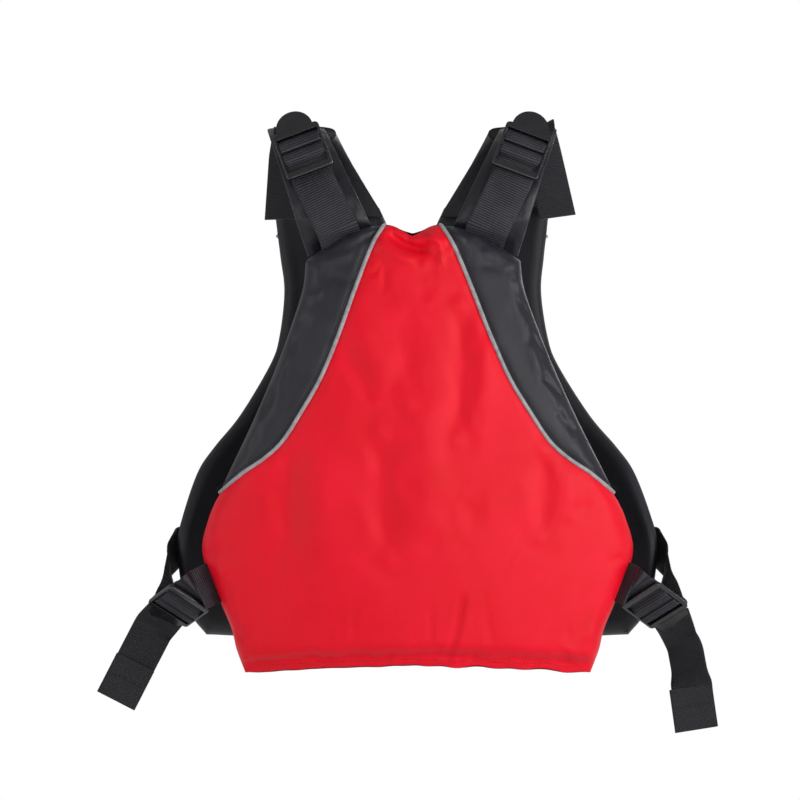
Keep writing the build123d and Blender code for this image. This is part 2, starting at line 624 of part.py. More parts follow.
with BuildPart() as socket:
    with BuildSketch(buckle):
        with Locations(((SOCKET_END + SOCKET_MOUTH) / 2, 0)):
            RectangleRounded(SOCKET_MOUTH - SOCKET_END, SOCKET_HIGH, 5)
    extrude(amount=SOCKET_T / 2, both=True)
    fillet(socket.faces().sort_by(Axis(buckle.origin, buckle.z_dir))[-1].outer_wire().edges(), radius=1.5)
    with BuildSketch(buckle):
        with Locations((SOCKET_MOUTH, 0)):
            Rectangle(30, CAVITY, align=(Align.MAX, Align.CENTER))
        with Locations((PRESS_AT, 0)):
            Rectangle(PRESS_WIDE, SOCKET_HIGH + 2)
    extrude(amount=CAVITY_T / 2, both=True, mode=Mode.SUBTRACT)
    with BuildSketch(buckle):
        with Locations((SOCKET_END + 4.8, 0)):
            Rectangle(4.4, SLOT_LONG)
    extrude(amount=SOCKET_T, both=True, mode=Mode.SUBTRACT)
save(socket, "buckle_socket")

with BuildPart() as plug:
    with BuildSketch(buckle):
        with Locations((SOCKET_MOUTH + 0.6, 0)):
            Rectangle(19, SOCKET_HIGH, align=(Align.MIN, Align.CENTER))
        with Locations((17.5, 0)):
            Rectangle(5, SLOT_LONG, mode=Mode.SUBTRACT)
    extrude(amount=PLUG_T / 2, both=True)
    with BuildSketch(buckle):
        with Locations((SOCKET_MOUTH + 1, 0)):
            Rectangle(27, 6, align=(Align.MAX, Align.CENTER))
    extrude(amount=2.4, both=True)
save(plug, "buckle_plug")

for up, name in ((-1, "upper"), (1, "lower")):
    with BuildPart() as prong:
        with BuildSketch(buckle):
            with BuildLine():
                Polyline(*[(x, up * y) for x, y in PRONG], close=True)
            make_face()
        extrude(amount=PRONG_T / 2, both=True)
    save(prong, f"buckle_prong_{name}")
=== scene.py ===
"""Looks of a life jacket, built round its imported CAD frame. Measures are millimetres until a mesh is made."""

import math

import bmesh
import bpy
import numpy as np
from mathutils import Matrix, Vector, noise


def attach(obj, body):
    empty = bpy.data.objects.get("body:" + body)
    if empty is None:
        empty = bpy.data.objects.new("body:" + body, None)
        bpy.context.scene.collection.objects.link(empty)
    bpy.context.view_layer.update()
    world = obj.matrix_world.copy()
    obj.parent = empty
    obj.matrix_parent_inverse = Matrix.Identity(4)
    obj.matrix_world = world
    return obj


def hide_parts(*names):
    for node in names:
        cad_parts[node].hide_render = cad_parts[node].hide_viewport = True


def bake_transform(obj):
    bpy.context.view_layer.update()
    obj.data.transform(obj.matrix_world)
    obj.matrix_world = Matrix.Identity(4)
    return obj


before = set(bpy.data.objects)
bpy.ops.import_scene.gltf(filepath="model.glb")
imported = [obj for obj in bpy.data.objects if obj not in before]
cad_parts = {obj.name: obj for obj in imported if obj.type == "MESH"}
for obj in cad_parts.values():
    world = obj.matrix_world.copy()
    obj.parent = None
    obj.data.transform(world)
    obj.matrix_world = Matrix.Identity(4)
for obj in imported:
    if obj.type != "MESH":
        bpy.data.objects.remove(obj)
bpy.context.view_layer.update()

# ---- the jacket's measures, as in the CAD -------------------------------------------------------
HEM = -482.0
FLOOR = -640.0
WEB = 38.0
FACE = 15.2
BACK_AXIS = 280.0
BACK_RADII = (368.0, 384.0, 358.0)
FRONT_AXIS = -190.0
FRONT_RADII = (292.0, 278.0)
PANEL_LOW = -20.0
PANEL_MID = 200.0
PANEL_HIGH = 440.0
SHOULDER_MID = -5.0
LEAN_FROM = 100.0
LEAN_TO = 400.0
ARCH_Y = -4.0
ARCH_HEIGHT = 408.0
ARCH_DEPTH = 70.0
ARCH_RISE = 74.0
PAD_T = 14.0
SIDES = ((-1, "left"), (1, "right"))

NECK = ((0, 393), (8, 395.5), (25, 401), (60, 393), (97, 369))
WING_TOP = ((97, 369), (100, 343), (112, 307), (126, 271), (148, 222), (171, 176), (179, 159))
WING_LOW = ((179, 159), (190, 135), (196.5, 104), (183, 66), (170, 36), (165, 16), (157, -5))
BACK_HEM = ((157, -5), (90, 1), (0, 5))
BACK_SEAM = ((25, 402), (37.5, 380), (52, 344), (68.5, 300), (85, 262), (104, 230), (120, 206),
             (137, 190.5), (157, 177), (179, 159))
FRONT_CENTRE = ((8, 16), (8, 200), (8, 372), (21, 404), (31, 426))
FRONT_EDGE = ((197, 24), (211, 44), (219, 72), (222, 110), (216.5, 137), (203, 176), (188, 199),
              (164, 229), (136, 276), (127, 302), (121.5, 345), (124.5, 378), (130, 426))
FRONT_HEM = ((8, 16), (120, 17), (197, 24))
YOKE_SEAM = ((10, 398), (75, 385), (140, 402))

SHOULDER_LOCK = (99.0, -82.0, 468.0)
SHOULDER_ALONG = (0.374, 0.404, 1.0)
SHOULDER_TAILS = (((114.5, -38.0, 470.0), (118.0, -46.0, 408.0)),
                  ((118.0, -38.0, 476.0), (133.0, -46.0, 410.0)))
WAIST_LOCKS = (((-218.1, -48.0, 55.4), (-0.52, 0.76, -0.387), (-0.3, -0.588, -0.75)),
               ((215.9, -52.0, 56.0), (0.664, 0.557, -0.498), (0.07, -0.731, -0.723)))
WAIST_SEWN = (172.0, -46.0, 83.0)
WAIST_TAIL_ENDS = ((-277.8, -22.0, -34.0), (257.8, -24.0, -60.0))
WAIST_TAIL_FACE = (0.1, -1.0, 0.0)
WAIST_WRAP = (((222.5, 17.8, 106.0), (0.0, 0.0, -1.0)), ((230.0, -6.0, 95.0), (0.0, 0.45, -0.89)),
              ((228.0, -20.0, 75.0), (-0.25, 0.4, -0.88)))
WAIST_UNDER = (2.0, 24.0, -10.0)
TAIL_FOLD_SHIFT = (0.0, -2.0)
TAIL_TWIST = (0.0, -0.85)
TAIL_BOW = (0.0, 5.0)
BELT_HEIGHT = 106.0
KEEPER_X = 120.0
KEEPER_HALF = 12.0
ZIP_LOW = 22.0
ZIP_HIGH = 366.0
ZIP_DEPTH = -4.0
ZIP_TAPE_MID = 8.5
ZIP_TAPE_WIDTH = 13.0


# ---- shapes -------------------------------------------------------------------------------------
def back_surface(x, h, depth):
    """Points on a layer of the back panel, depth millimetres out from its middle."""
    low, mid, high = PANEL_LOW, PANEL_MID, PANEL_HIGH
    radius = (BACK_RADII[0] * (h - mid) * (h - high) / ((low - mid) * (low - high))
              + BACK_RADII[1] * (h - low) * (h - high) / ((mid - low) * (mid - high))
              + BACK_RADII[2] * (h - low) * (h - mid) / ((high - low) * (high - mid)))
    return np.stack([x, BACK_AXIS - np.sqrt((radius + depth) ** 2 - x ** 2), HEM + h], axis=-1)


def front_surface(x, h, depth):
    """Points on a layer of the front panels, depth millimetres out from their middle."""
    share = (h - PANEL_LOW) / (PANEL_HIGH - PANEL_LOW)
    radius = FRONT_RADII[0] + share * (FRONT_RADII[1] - FRONT_RADII[0])
    return np.stack([x, FRONT_AXIS + np.sqrt((radius + depth) ** 2 - x ** 2), HEM + h], axis=-1)


def resample(line, count):
    """The same line with evenly spaced points."""
    line = np.asarray(line, float)
    gaps = np.linalg.norm(np.diff(line, axis=0), axis=1)
    at = np.concatenate([[0], np.cumsum(gaps)])
    wanted = np.linspace(0, at[-1], count)
    return np.stack([np.interp(wanted, at, line[:, k]) for k in range(line.shape[1])], axis=1)


def curve(points, per_span=14):
    """A smooth line through points."""
    points = np.asarray(points, float)
    if len(points) == 2:
        return resample(points, per_span)
    ends = np.vstack([2 * points[0] - points[1], points, 2 * points[-1] - points[-2]])
    t = np.linspace(0, 1, per_span, endpoint=False)[:, None]
    spans = []
    for a, b, c, d in zip(ends[:-3], ends[1:-2], ends[2:-1], ends[3:]):
        spans.append(0.5 * (2 * b + (c - a) * t + (2 * a - 5 * b + 4 * c - d) * t ** 2
                            + (3 * b - a - 3 * c + d) * t ** 3))
    return np.vstack(spans + [points[-1:]])


def leaned(side, points):
    """Right-side outline points on either side, moved over by the jacket's lean."""
    points = np.array(points, float)
    share = np.clip((points[:, 1] - LEAN_FROM) / (LEAN_TO - LEAN_FROM), 0, 1)
    return np.stack([side * points[:, 0] + SHOULDER_MID * share, points[:, 1]], axis=1)


def patch(left, right, low, high, rows, columns):
    """A grid of points filled in between four lines; left and right run up, low and high run right."""
    left, right = resample(left, rows), resample(right, rows)
    low, high = resample(low, columns), resample(high, columns)
    u = np.linspace(0, 1, columns)[None, :, None]
    v = np.linspace(0, 1, rows)[:, None, None]
    corners = ((1 - u) * (1 - v) * left[0] + u * (1 - v) * right[0]
               + (1 - u) * v * left[-1] + u * v * right[-1])
    return (1 - u) * left[:, None] + u * right[:, None] + (1 - v) * low[None] + v * high[None] - corners


def line_distance(points, line):
    """Each point's distance to a line, in the plane of x and height."""
    flat = points.reshape(-1, 2)
    best = np.full(len(flat), 1e9)
    for a, b in zip(line[:-1], line[1:]):
        way = b - a
        length = max(way @ way, 1e-9)
        t = np.clip(((flat - a) @ way) / length, 0, 1)
        best = np.minimum(best, np.linalg.norm(flat - a - t[:, None] * way, axis=1))
    return best.reshape(points.shape[:-1])


def smooth_noise(points, size, seed):
    """Soft noise of about -1 to 1, with features of the given size."""
    flat = np.asarray(points, float).reshape(-1, np.shape(points)[-1])
    values = []
    for point in flat:
        third = point[2] / size if len(point) == 3 else 0.0
        values.append(noise.noise(Vector((point[0] / size + seed * 7.31, point[1] / size, third + seed))))
    return np.array(values).reshape(np.shape(points)[:-1])


def grid_faces(rows, columns, wrap=False):
    faces = []
    for i in range(rows - 1):
        for j in range(columns if wrap else columns - 1):
            k = (j + 1) % columns
            faces.append((i * columns + j, i * columns + k, (i + 1) * columns + k, (i + 1) * columns + j))
    return faces


def make_mesh(name, points, faces, material):
    """A mesh object from millimetre points."""
    mesh = bpy.data.meshes.new(name)
    mesh.from_pydata([tuple(p) for p in np.asarray(points, float).reshape(-1, 3) * 0.001], [], faces)
    mesh.materials.append(material)
    mesh.polygons.foreach_set("use_smooth", [True] * len(mesh.polygons))
    mesh.update()
    piece = bpy.data.objects.new(name, mesh)
    bpy.context.scene.collection.objects.link(piece)
    return piece


def set_attribute(piece, name, values):
    """A number for each vertex, that materials read."""
    layer = piece.data.attributes.new(name, "FLOAT", "POINT")
    layer.data.foreach_set("value", np.asarray(values, np.float32).ravel())


def unit(v):
    v = np.asarray(v, float)
    return v / max(np.linalg.norm(v), 1e-12)


def tube(name, line, radius, material, sides=8, start_up=(0, 0, 1)):
    """A round cord along a line, with closed ends."""
    line = np.asarray(line, float)
    ways = np.gradient(line, axis=0)
    ways /= np.linalg.norm(ways, axis=1, keepdims=True)
    up = np.array(start_up, float)
    angles = np.linspace(0, 2 * math.pi, sides, endpoint=False)
    rings = []
    for point, way in zip(line, ways):
        up = unit(up - way * (up @ way))
        side = np.cross(way, up)
        rings.append([point + radius * (math.cos(a) * up + math.sin(a) * side) for a in angles])
    points = np.array(rings).reshape(-1, 3)
    faces = grid_faces(len(line), sides, wrap=True)
    faces.append(tuple(range(sides))[::-1])
    faces.append(tuple(len(points) - sides + k for k in range(sides)))
    return make_mesh(name, points, faces, material)


def dashes(name, line, outward, length, pitch, radius, material, zigzag=0.0):
    """A row of stitches along a line; outward holds the cloth's normal at each of its points."""
    line, outward = np.asarray(line, float), np.asarray(outward, float)
    total = np.linalg.norm(np.diff(line, axis=0), axis=1).sum()
    count = max(2, int(total / pitch))
    ends = resample(np.hstack([line, outward]), count * 2 + 1)
    points, faces = [], []
    for i in range(count):
        a, b = ends[2 * i, :3], ends[2 * i + 2, :3]
        n = unit(ends[2 * i + 1, 3:])
        way = unit(b - a)
        side = np.cross(way, n)
        middle = (a + b) / 2
        lean = side * zigzag * (1 if i % 2 else -1)
        way = unit(way * length + 2 * lean)
        side = np.cross(way, n)
        first = len(points)
        for t, lift, wide in ((-0.5, -0.5, 0.45), (-0.28, 0.5, 1.0), (0.28, 0.5, 1.0), (0.5, -0.5, 0.45)):
            centre = middle + way * t * math.hypot(length, 2 * zigzag) + n * radius * lift
            for k in range(6):
                angle = math.pi * k / 3
                points.append(centre + wide * radius * (math.cos(angle) * n + math.sin(angle) * side))
        for ring in range(3):
            for k in range(6):
                p, q = first + ring * 6 + k, first + ring * 6 + (k + 1) % 6
                faces.append((p, q, q + 6, p + 6))
        faces.append(tuple(first + k for k in range(6))[::-1])
        faces.append(tuple(first + 18 + k for k in range(6)))
    return make_mesh(name, points, faces, material)


def rounded_path(points, radius, step=0.8):
    """A polyline with its corners rounded, resampled at an even step."""
    points = [np.asarray(p, float) for p in points]
    out = [points[0]]
    for a, b, c in zip(points[:-2], points[1:-1], points[2:]):
        r = min(radius, np.linalg.norm(b - a) * 0.49, np.linalg.norm(c - b) * 0.49)
        p, q = b + unit(a - b) * r, b + unit(c - b) * r
        for t in np.linspace(0, 1, 7):
            out.append((1 - t) ** 2 * p + 2 * t * (1 - t) * b + t ** 2 * q)
    out.append(points[-1])
    line = np.array(out)
    length = np.linalg.norm(np.diff(line, axis=0), axis=1).sum()
    return resample(line, max(3, int(length / step) + 1))


# ---- materials ----------------------------------------------------------------------------------
SHEEN_ROUGHNESS = 0.4


def new_look(name, roughness, specular=0.5, sheen=0.0):
    """A material with one principled shader, and that shader."""
    look = bpy.data.materials.new(name)
    look.use_nodes = True
    shader = look.node_tree.nodes["Principled BSDF"]
    for socket, value in (("Roughness", roughness), ("Specular IOR Level", specular),
                          ("Sheen Weight", sheen), ("Sheen Roughness", SHEEN_ROUGHNESS)):
        shader.inputs[socket].default_value = value
    return look, shader


def link(look, source, socket):
    look.node_tree.links.new(source, socket)


def node(look, kind, links=(), **values):
    """A node of one kind, with its settings, values and incoming links."""
    made = look.node_tree.nodes.new(kind)
    for key, value in values.items():
        if hasattr(made, key):
            setattr(made, key, value)
        else:
            made.inputs[key.replace("_", " ")].default_value = value
    for socket, source in links:
        link(look, source, made.inputs[socket])
    return made


def texture_place(look):
    return node(look, "ShaderNodeTexCoord").outputs["Object"]


def stretched(look, source, scale):
    """Texture coordinates scaled by a different amount on each axis."""
    made = node(look, "ShaderNodeMapping", [("Vector", source)])
    made.inputs["Scale"].default_value = scale
    return made.outputs["Vector"]


def noise_value(look, place, scale, detail=3.0, roughness=0.5):
    return node(look, "ShaderNodeTexNoise", [("Vector", place)], Scale=scale, Detail=detail,
                Roughness=roughness).outputs["Fac"]


def between(look, factor, low, high, start=0.3, stop=0.7):
    """A colour that goes from low to high as the factor goes from start to stop."""
    ramp = node(look, "ShaderNodeValToRGB", [("Fac", factor)])
    ramp.color_ramp.elements[0].position = start
    ramp.color_ramp.elements[1].position = stop
    ramp.color_ramp.elements[0].color = (*low, 1)
    ramp.color_ramp.elements[1].color = (*high, 1)
    return ramp.outputs["Color"]


def number_between(look, factor, low, high):
    made = node(look, "ShaderNodeMapRange", [("Value", factor)])
    made.inputs["To Min"].default_value = low
    made.inputs["To Max"].default_value = high
    return made.outputs["Result"]


def math_of(look, operation, *sources):
    made = look.node_tree.nodes.new("ShaderNodeMath")
    made.operation = operation
    for k, source in enumerate(sources):
        if isinstance(source, (int, float)):
            made.inputs[k].default_value = source
        else:
            link(look, source, made.inputs[k])
    return made.outputs[0]


def bumped(look, shader, *heights, first=None):
    """Bump maps one over the other; each is a height output and its depth in metres."""
    last = first
    for height, depth in heights:
        links = [("Height", height)] + ([("Normal", last)] if last else [])
        last = node(look, "ShaderNodeBump", links, Distance=depth, Strength=1.0).outputs["Normal"]
    link(look, last, shader.inputs["Normal"])


def linear(code):
    """A linear colour from a web colour code."""
    parts = [int(code[k:k + 2], 16) / 255 for k in (0, 2, 4)]
    return tuple(p / 12.92 if p <= 0.04045 else ((p + 0.055) / 1.055) ** 2.4 for p in parts)


def woven(name, low, high, roughness, sheen, thread, depth, specular=0.5, crease=0.00025):
    """Fine woven cloth: crossing threads, faint creases and a colour that varies a little."""
    look, shader = new_look(name, roughness, specular, sheen)
    place = texture_place(look)
    waves = []
    for direction in ("X", "Z"):
        waves.append(node(look, "ShaderNodeTexWave", [("Vector", place)], wave_type="BANDS",
                          bands_direction=direction, Scale=0.314 / thread, Distortion=0.6,
                          Detail=1.0).outputs["Fac"])
    weave = math_of(look, "MULTIPLY", *waves)
    cloud = noise_value(look, place, 22.0, 4.0, 0.6)
    crinkle = noise_value(look, stretched(look, place, (1.0, 1.0, 0.45)), 120.0, 5.0, 0.62)
    grain = noise_value(look, place, 1500.0, 2.0)
    mixed = math_of(look, "ADD", math_of(look, "MULTIPLY", cloud, 0.7),
                    math_of(look, "MULTIPLY", grain, 0.3))
    link(look, between(look, mixed, low, high), shader.inputs["Base Color"])
    link(look, number_between(look, cloud, roughness - 0.06, roughness + 0.08), shader.inputs["Roughness"])
    bumped(look, shader, (crinkle, crease), (weave, depth), (grain, depth * 0.5))
    return look


def banded(name, plain, colour, width):
    """A copy of a cloth with another colour where its from_edge number is under a width."""
    look = plain.copy()
    look.name = name
    shader = look.node_tree.nodes["Principled BSDF"]
    cloth = shader.inputs["Base Color"].links[0].from_socket
    away = node(look, "ShaderNodeAttribute", attribute_name="from_edge").outputs["Fac"]
    mix = node(look, "ShaderNodeMix", data_type="RGBA")
    link(look, math_of(look, "LESS_THAN", away, width), mix.inputs["Factor"])
    link(look, cloth, mix.inputs[6])
    mix.inputs[7].default_value = (*colour, 1)
    link(look, mix.outputs[2], shader.inputs["Base Color"])
    return look


def webbed(name, low, high, roughness, pitch, sheen=0.03):
    """Ribbed webbing, whose ribs follow the numbers along and across each strap; its colour has painted
    highlights where rib and warp crests cross, and painted shade between them, over a little random tone.
    """
    look, shader = new_look(name, roughness, 0.3, sheen)
    along = node(look, "ShaderNodeAttribute", attribute_name="along").outputs["Fac"]
    across = node(look, "ShaderNodeAttribute", attribute_name="across").outputs["Fac"]
    turn = math_of(look, "MULTIPLY", across, 2 * math.pi / 0.00125)
    slant = math_of(look, "MULTIPLY", math_of(look, "SINE", turn), 0.35)
    phase = math_of(look, "MULTIPLY", along, 2 * math.pi / pitch)
    rib = math_of(look, "SINE", math_of(look, "ADD", phase, slant))
    warp = math_of(look, "SINE", turn)
    weave = math_of(look, "ADD", math_of(look, "MULTIPLY", rib, 0.6), math_of(look, "MULTIPLY", warp, 0.4))
    # Painted highlights: the colour turns light only on the crests where ribs and warp cross, and the rest
    # stays near the darker colour as painted shade.
    painted_rib_glints = math_of(look, "MULTIPLY", math_of(look, "MAXIMUM", rib, 0.0), math_of(look, "MAXIMUM", warp, 0.0))
    place = texture_place(look)
    grain = noise_value(look, place, 1800.0, 3.0)
    cloud = noise_value(look, place, 35.0, 3.0)
    glints_and_tone = math_of(look, "ADD", math_of(look, "MULTIPLY", painted_rib_glints, math_of(look, "MULTIPLY", grain, 1.5)),
                   math_of(look, "MULTIPLY", cloud, 0.3))
    link(look, between(look, glints_and_tone, low, high, 0.1, 0.8), shader.inputs["Base Color"])
    bumped(look, shader, (weave, 0.00022), (grain, 0.00004))
    return look


def moulded(name, colour, roughness=0.3):
    """Nylon plastic with softened edges, a faint mould grain and handling marks."""
    look, shader = new_look(name, roughness, 0.8)
    place = texture_place(look)
    grain = noise_value(look, place, 1400.0, 2.0)
    marks = noise_value(look, place, 90.0, 5.0, 0.65)
    link(look, between(look, marks, colour, tuple(c * 1.5 + 0.003 for c in colour)),
         shader.inputs["Base Color"])
    link(look, number_between(look, marks, roughness - 0.1, roughness + 0.12), shader.inputs["Roughness"])
    soft_edge = node(look, "ShaderNodeBevel", Radius=0.0012).outputs["Normal"]
    bumped(look, shader, (grain, 0.00003), (marks, 0.00006), first=soft_edge)
    return look


def thread(name, colour, roughness):
    """Plain sewing thread."""
    look, shader = new_look(name, roughness, 0.4, 0.3)
    shader.inputs["Base Color"].default_value = (*colour, 1)
    return look


RED = woven("red_satin", linear("F00A20"), linear("FF1030"), 0.42, 0.0, 0.00055, 0.00006, 0.22)
WING = woven("black_satin", linear("1A1A21"), linear("272731"), 0.4, 0.03, 0.0005, 0.00006, 0.45)
LINING = woven("black_lining", linear("111116"), linear("1F1F28"), 0.5, 0.03, 0.0006, 0.00008, 0.4, 0.0004)
SHINY = woven("shiny_black_cloth", linear("13131A"), linear("22222B"), 0.3, 0.05, 0.0004, 0.00004, 0.5,
              0.0005)
# In each webbing the lighter colour is the painted highlight on the rib crests, and the darker colour is
# painted shade between them, darker than the webbing itself.
WEBBING = webbed("ribbed_webbing", linear("101014"), linear("62626E"), 0.5, 0.00215)
TAIL_WEBBING = webbed("fine_webbing", linear("19191E"), linear("34343C"), 0.46, 0.0015)
PLASTIC = moulded("black_plastic", linear("0D0D12"), 0.25)
BANDED_RED = banded("banded_satin", RED, linear("1A1A21"), 0.026)
RED_THREAD = thread("red_thread", linear("C01020"), 0.55)
BLACK_THREAD = thread("black_thread", linear("0B0B0C"), 0.5)


def piping_look():
    """Silver-grey woven piping with light scuffs."""
    look, shader = new_look("piping_cloth", 0.42, 0.5, 0.3)
    place = texture_place(look)
    cross = node(look, "ShaderNodeTexWave", [("Vector", place)], wave_type="BANDS",
                 bands_direction="DIAGONAL", Scale=350.0, Distortion=0.5).outputs["Fac"]
    cloud = noise_value(look, place, 160.0, 4.0, 0.6)
    link(look, between(look, cloud, linear("8D8D90"), linear("B6B6BA")), shader.inputs["Base Color"])
    bumped(look, shader, (cross, 0.00008), (cloud, 0.0002))
    return look


PIPING = piping_look()
ZIP_CLOTH = woven("zip_cloth", linear("101012"), linear("1B1B1E"), 0.65, 0.2, 0.0004, 0.00008)
ZIP_PLASTIC = moulded("zip_plastic", linear("111113"), 0.38)
METAL = moulded("zip_metal", linear("55555A"), 0.35)
METAL.node_tree.nodes["Principled BSDF"].inputs["Metallic"].default_value = 0.9


# ---- camera, light and stage --------------------------------------------------------------------
camera = bpy.data.objects.new("camera", bpy.data.cameras.new("camera"))
camera.location = (-0.0162, -3.09, -0.239)
camera.rotation_euler = (math.pi / 2, 0, 0)
camera.data.lens = 150
camera.data.sensor_width = 36
bpy.context.scene.collection.objects.link(camera)
bpy.context.scene.camera = camera

AMBIENT = 0.34
WHITE = (1, 1, 1, 1)


def studio_world():
    """Soft even light all round, and plain white where the camera looks past the floor."""
    world = bpy.data.worlds.new("studio")
    world.use_nodes = True
    tree = world.node_tree
    soft = tree.nodes["Background"]
    soft.inputs["Color"].default_value = WHITE
    soft.inputs["Strength"].default_value = AMBIENT
    plain_white = tree.nodes.new("ShaderNodeBackground")
    plain_white.inputs["Color"].default_value = WHITE
    seen = tree.nodes.new("ShaderNodeLightPath")
    chosen = tree.nodes.new("ShaderNodeMixShader")
    tree.links.new(seen.outputs["Is Camera Ray"], chosen.inputs[0])
    tree.links.new(soft.outputs[0], chosen.inputs[1])
    tree.links.new(plain_white.outputs[0], chosen.inputs[2])
    tree.links.new(chosen.outputs[0], tree.nodes["World Output"].inputs["Surface"])
    bpy.context.scene.world = world


studio_world()
bpy.context.scene.view_settings.view_transform = "Standard"


def area_light(name, place, size, power):
    """A soft rectangular light that points at the middle of the jacket."""
    light = bpy.data.objects.new(name, bpy.data.lights.new(name, "AREA"))
    light.data.shape = "RECTANGLE"
    light.data.size, light.data.size_y = size
    light.data.energy = power
    light.location = place
    light.rotation_mode = "QUATERNION"
    light.rotation_quaternion = (Vector(MIDDLE) - Vector(place)).to_track_quat("-Z", "Y")
    bpy.context.scene.collection.objects.link(light)


MIDDLE = (0, -0.05, -0.24)
area_light("key_right", (2.0, -1.5, -0.1), (0.8, 1.6), 33)
area_light("front", (0.4, -2.7, -0.1), (1.4, 0.9), 11)
area_light("far_side", (0.6, 2.4, 0.2), (1.4, 1.0), 9)
area_light("fill_left", (-1.9, -0.8, -0.2), (0.4, 1.5), 8)


def pale_floor():
    """A wide pale floor below the jacket, plain white where the camera sees it."""
    reach = 4000
    points = [(x, y, FLOOR) for y in (-reach, reach) for x in (-reach, reach)]
    look, shader = new_look("pale_floor", 0.9, 0.1)
    shader.inputs["Base Color"].default_value = (0.85, 0.85, 0.85, 1)
    glow = node(look, "ShaderNodeEmission", Strength=1.0)
    chosen = node(look, "ShaderNodeMixShader")
    ways = node(look, "ShaderNodeLightPath")
    tree = look.node_tree
    shine = math_of(look, "MULTIPLY", ways.outputs["Is Glossy Ray"], 0.4)
    tree.links.new(math_of(look, "MAXIMUM", ways.outputs["Is Camera Ray"], shine), chosen.inputs[0])
    tree.links.new(shader.outputs[0], chosen.inputs[1])
    tree.links.new(glow.outputs[0], chosen.inputs[2])
    tree.links.new(chosen.outputs[0], tree.nodes["Material Output"].inputs["Surface"])
    make_mesh("floor", points, grid_faces(2, 2), look)


pale_floor()

# ---- panels -------------------------------------------------------------------------------------
EDGE_ROUND = 15.0
SEAM_DIP = 2.4
SEAM_WIDTH = 5.5
PIPING_R = 1.8
SPAN = 14
COLLAR_SAG = 2.4

wing_edge = {s: curve(leaned(s, WING_TOP + WING_LOW[1:]), SPAN) for s, _ in SIDES}
neck_run = {s: curve(leaned(s, NECK), SPAN) for s, _ in SIDES}
hem_run = {s: curve(leaned(s, BACK_HEM), SPAN) for s, _ in SIDES}
seam_run = {s: curve(leaned(s, BACK_SEAM), SPAN) for s, _ in SIDES}
corner = SPAN * (len(WING_TOP) - 1)
collar = SPAN * 2
for s in (-1, 1):
    seam_run[s][0] = neck_run[s][collar]
    seam_run[s][-1] = wing_edge[s][corner]
back_rim = np.vstack([neck_run[1], wing_edge[1], hem_run[1], hem_run[-1][::-1], wing_edge[-1][::-1],
                      neck_run[-1][::-1]])


def edge_share(d):
    """How far the padded panel has filled out at a distance from its edge, 0 to 1."""
    t = np.clip(d / EDGE_ROUND, 0, 1)
    return np.sqrt(1 - (1 - t) ** 2)


# Soft folds of the back cover: a line of (x, height) points, half width and height out of the cloth.
BACK_FOLDS = (
    (((-115, 210), (-118, 150), (-117, 95)), 13, -2.6),
    (((-82, 215), (-86, 150), (-84, 90)), 15, 1.5),
    (((-34, 215), (-33, 150), (-26, 100)), 13, -3.0),
    (((2, 260), (8, 180), (8, 110)), 18, 2.2),
    (((37, 330), (38, 270), (34, 205)), 11, -3.2),
    (((61, 305), (60, 265), (54, 225)), 10, 2.4),
    (((111, 200), (112, 160), (109, 118)), 10, -2.6),
    (((133, 190), (134, 160), (130, 125)), 12, 2.0),
    (((-74, 296), (-55, 268), (-37, 240)), 9, -2.2),
    (((-60, 320), (-40, 285), (-24, 255)), 12, 1.6),
    (((-16, 330), (-10, 285), (-12, 240)), 13, -1.8),
    (((45, 160), (48, 135), (46, 118)), 9, -1.4),
    (((41, 70), (36, 45), (28, 14)), 3.2, -1.6),
    (((46, 72), (42, 45), (36, 16)), 4, 0.9),
    (((57, 75), (62, 50), (66, 22)), 2.6, -0.7),
    (((-58, 70), (-58, 48), (-57, 26)), 2.2, -0.45),
    (((10, 58), (11, 40), (11, 24)), 2.2, -0.6),
    (((-72, 54), (-70, 36), (-67, 24)), 2.2, -0.5),
    (((135, 40), (135, 30), (136, 20)), 2.4, -0.6),
    (((96, 130), (84, 105), (74, 82)), 2.4, -0.5),
    (((-30, 396), (-18, 386), (-2, 379), (14, 378)), 6.0, -7.5),
    (((-38, 394), (-30, 384), (-18, 374), (2, 368)), 6.0, 3.6),
    (((4, 392), (16, 386), (26, 380)), 4.5, 4.6),
    (((14, 382), (20, 374), (21, 362)), 4.0, 2.4),
    (((-48, 357), (-40, 357), (-33, 360)), 3.0, -1.5),
    (((-28, 366), (-30, 352), (-28, 338)), 5.0, -1.2),
    (((8, 352), (6, 340), (10, 328)), 7.0, -1.0),
    (((-14, 396), (-8, 390), (-4, 386)), 4.0, -4.0),
    (((-62, 392), (-48, 396), (-30, 400)), 4.0, 2.2),
    (((32, 396), (46, 392), (60, 388)), 4.0, 1.8),
    (((-196, 110), (-188, 104), (-178, 102)), 4.5, -2.2),
    (((-192, 122), (-184, 118), (-174, 120)), 4.5, 1.6),
    (((-188, 88), (-180, 88), (-172, 84)), 4.0, 1.4),
    (((192, 102), (184, 99), (172, 97)), 3.4, -1.6),
    (((160, 150), (148, 146), (138, 136)), 6, -1.3),
    (((-168, 40), (-162, 30), (-156, 22)), 5, -1.6),
    (((160, 44), (158, 32), (154, 20)), 5, 1.5),
    (((-44, 24), (-40, 16), (-36, 8)), 4, 1.6),
    (((-92, 20), (-86, 14), (-78, 10)), 4, 1.4),
    (((132, 22), (138, 14), (146, 8)), 4, 1.2),
)
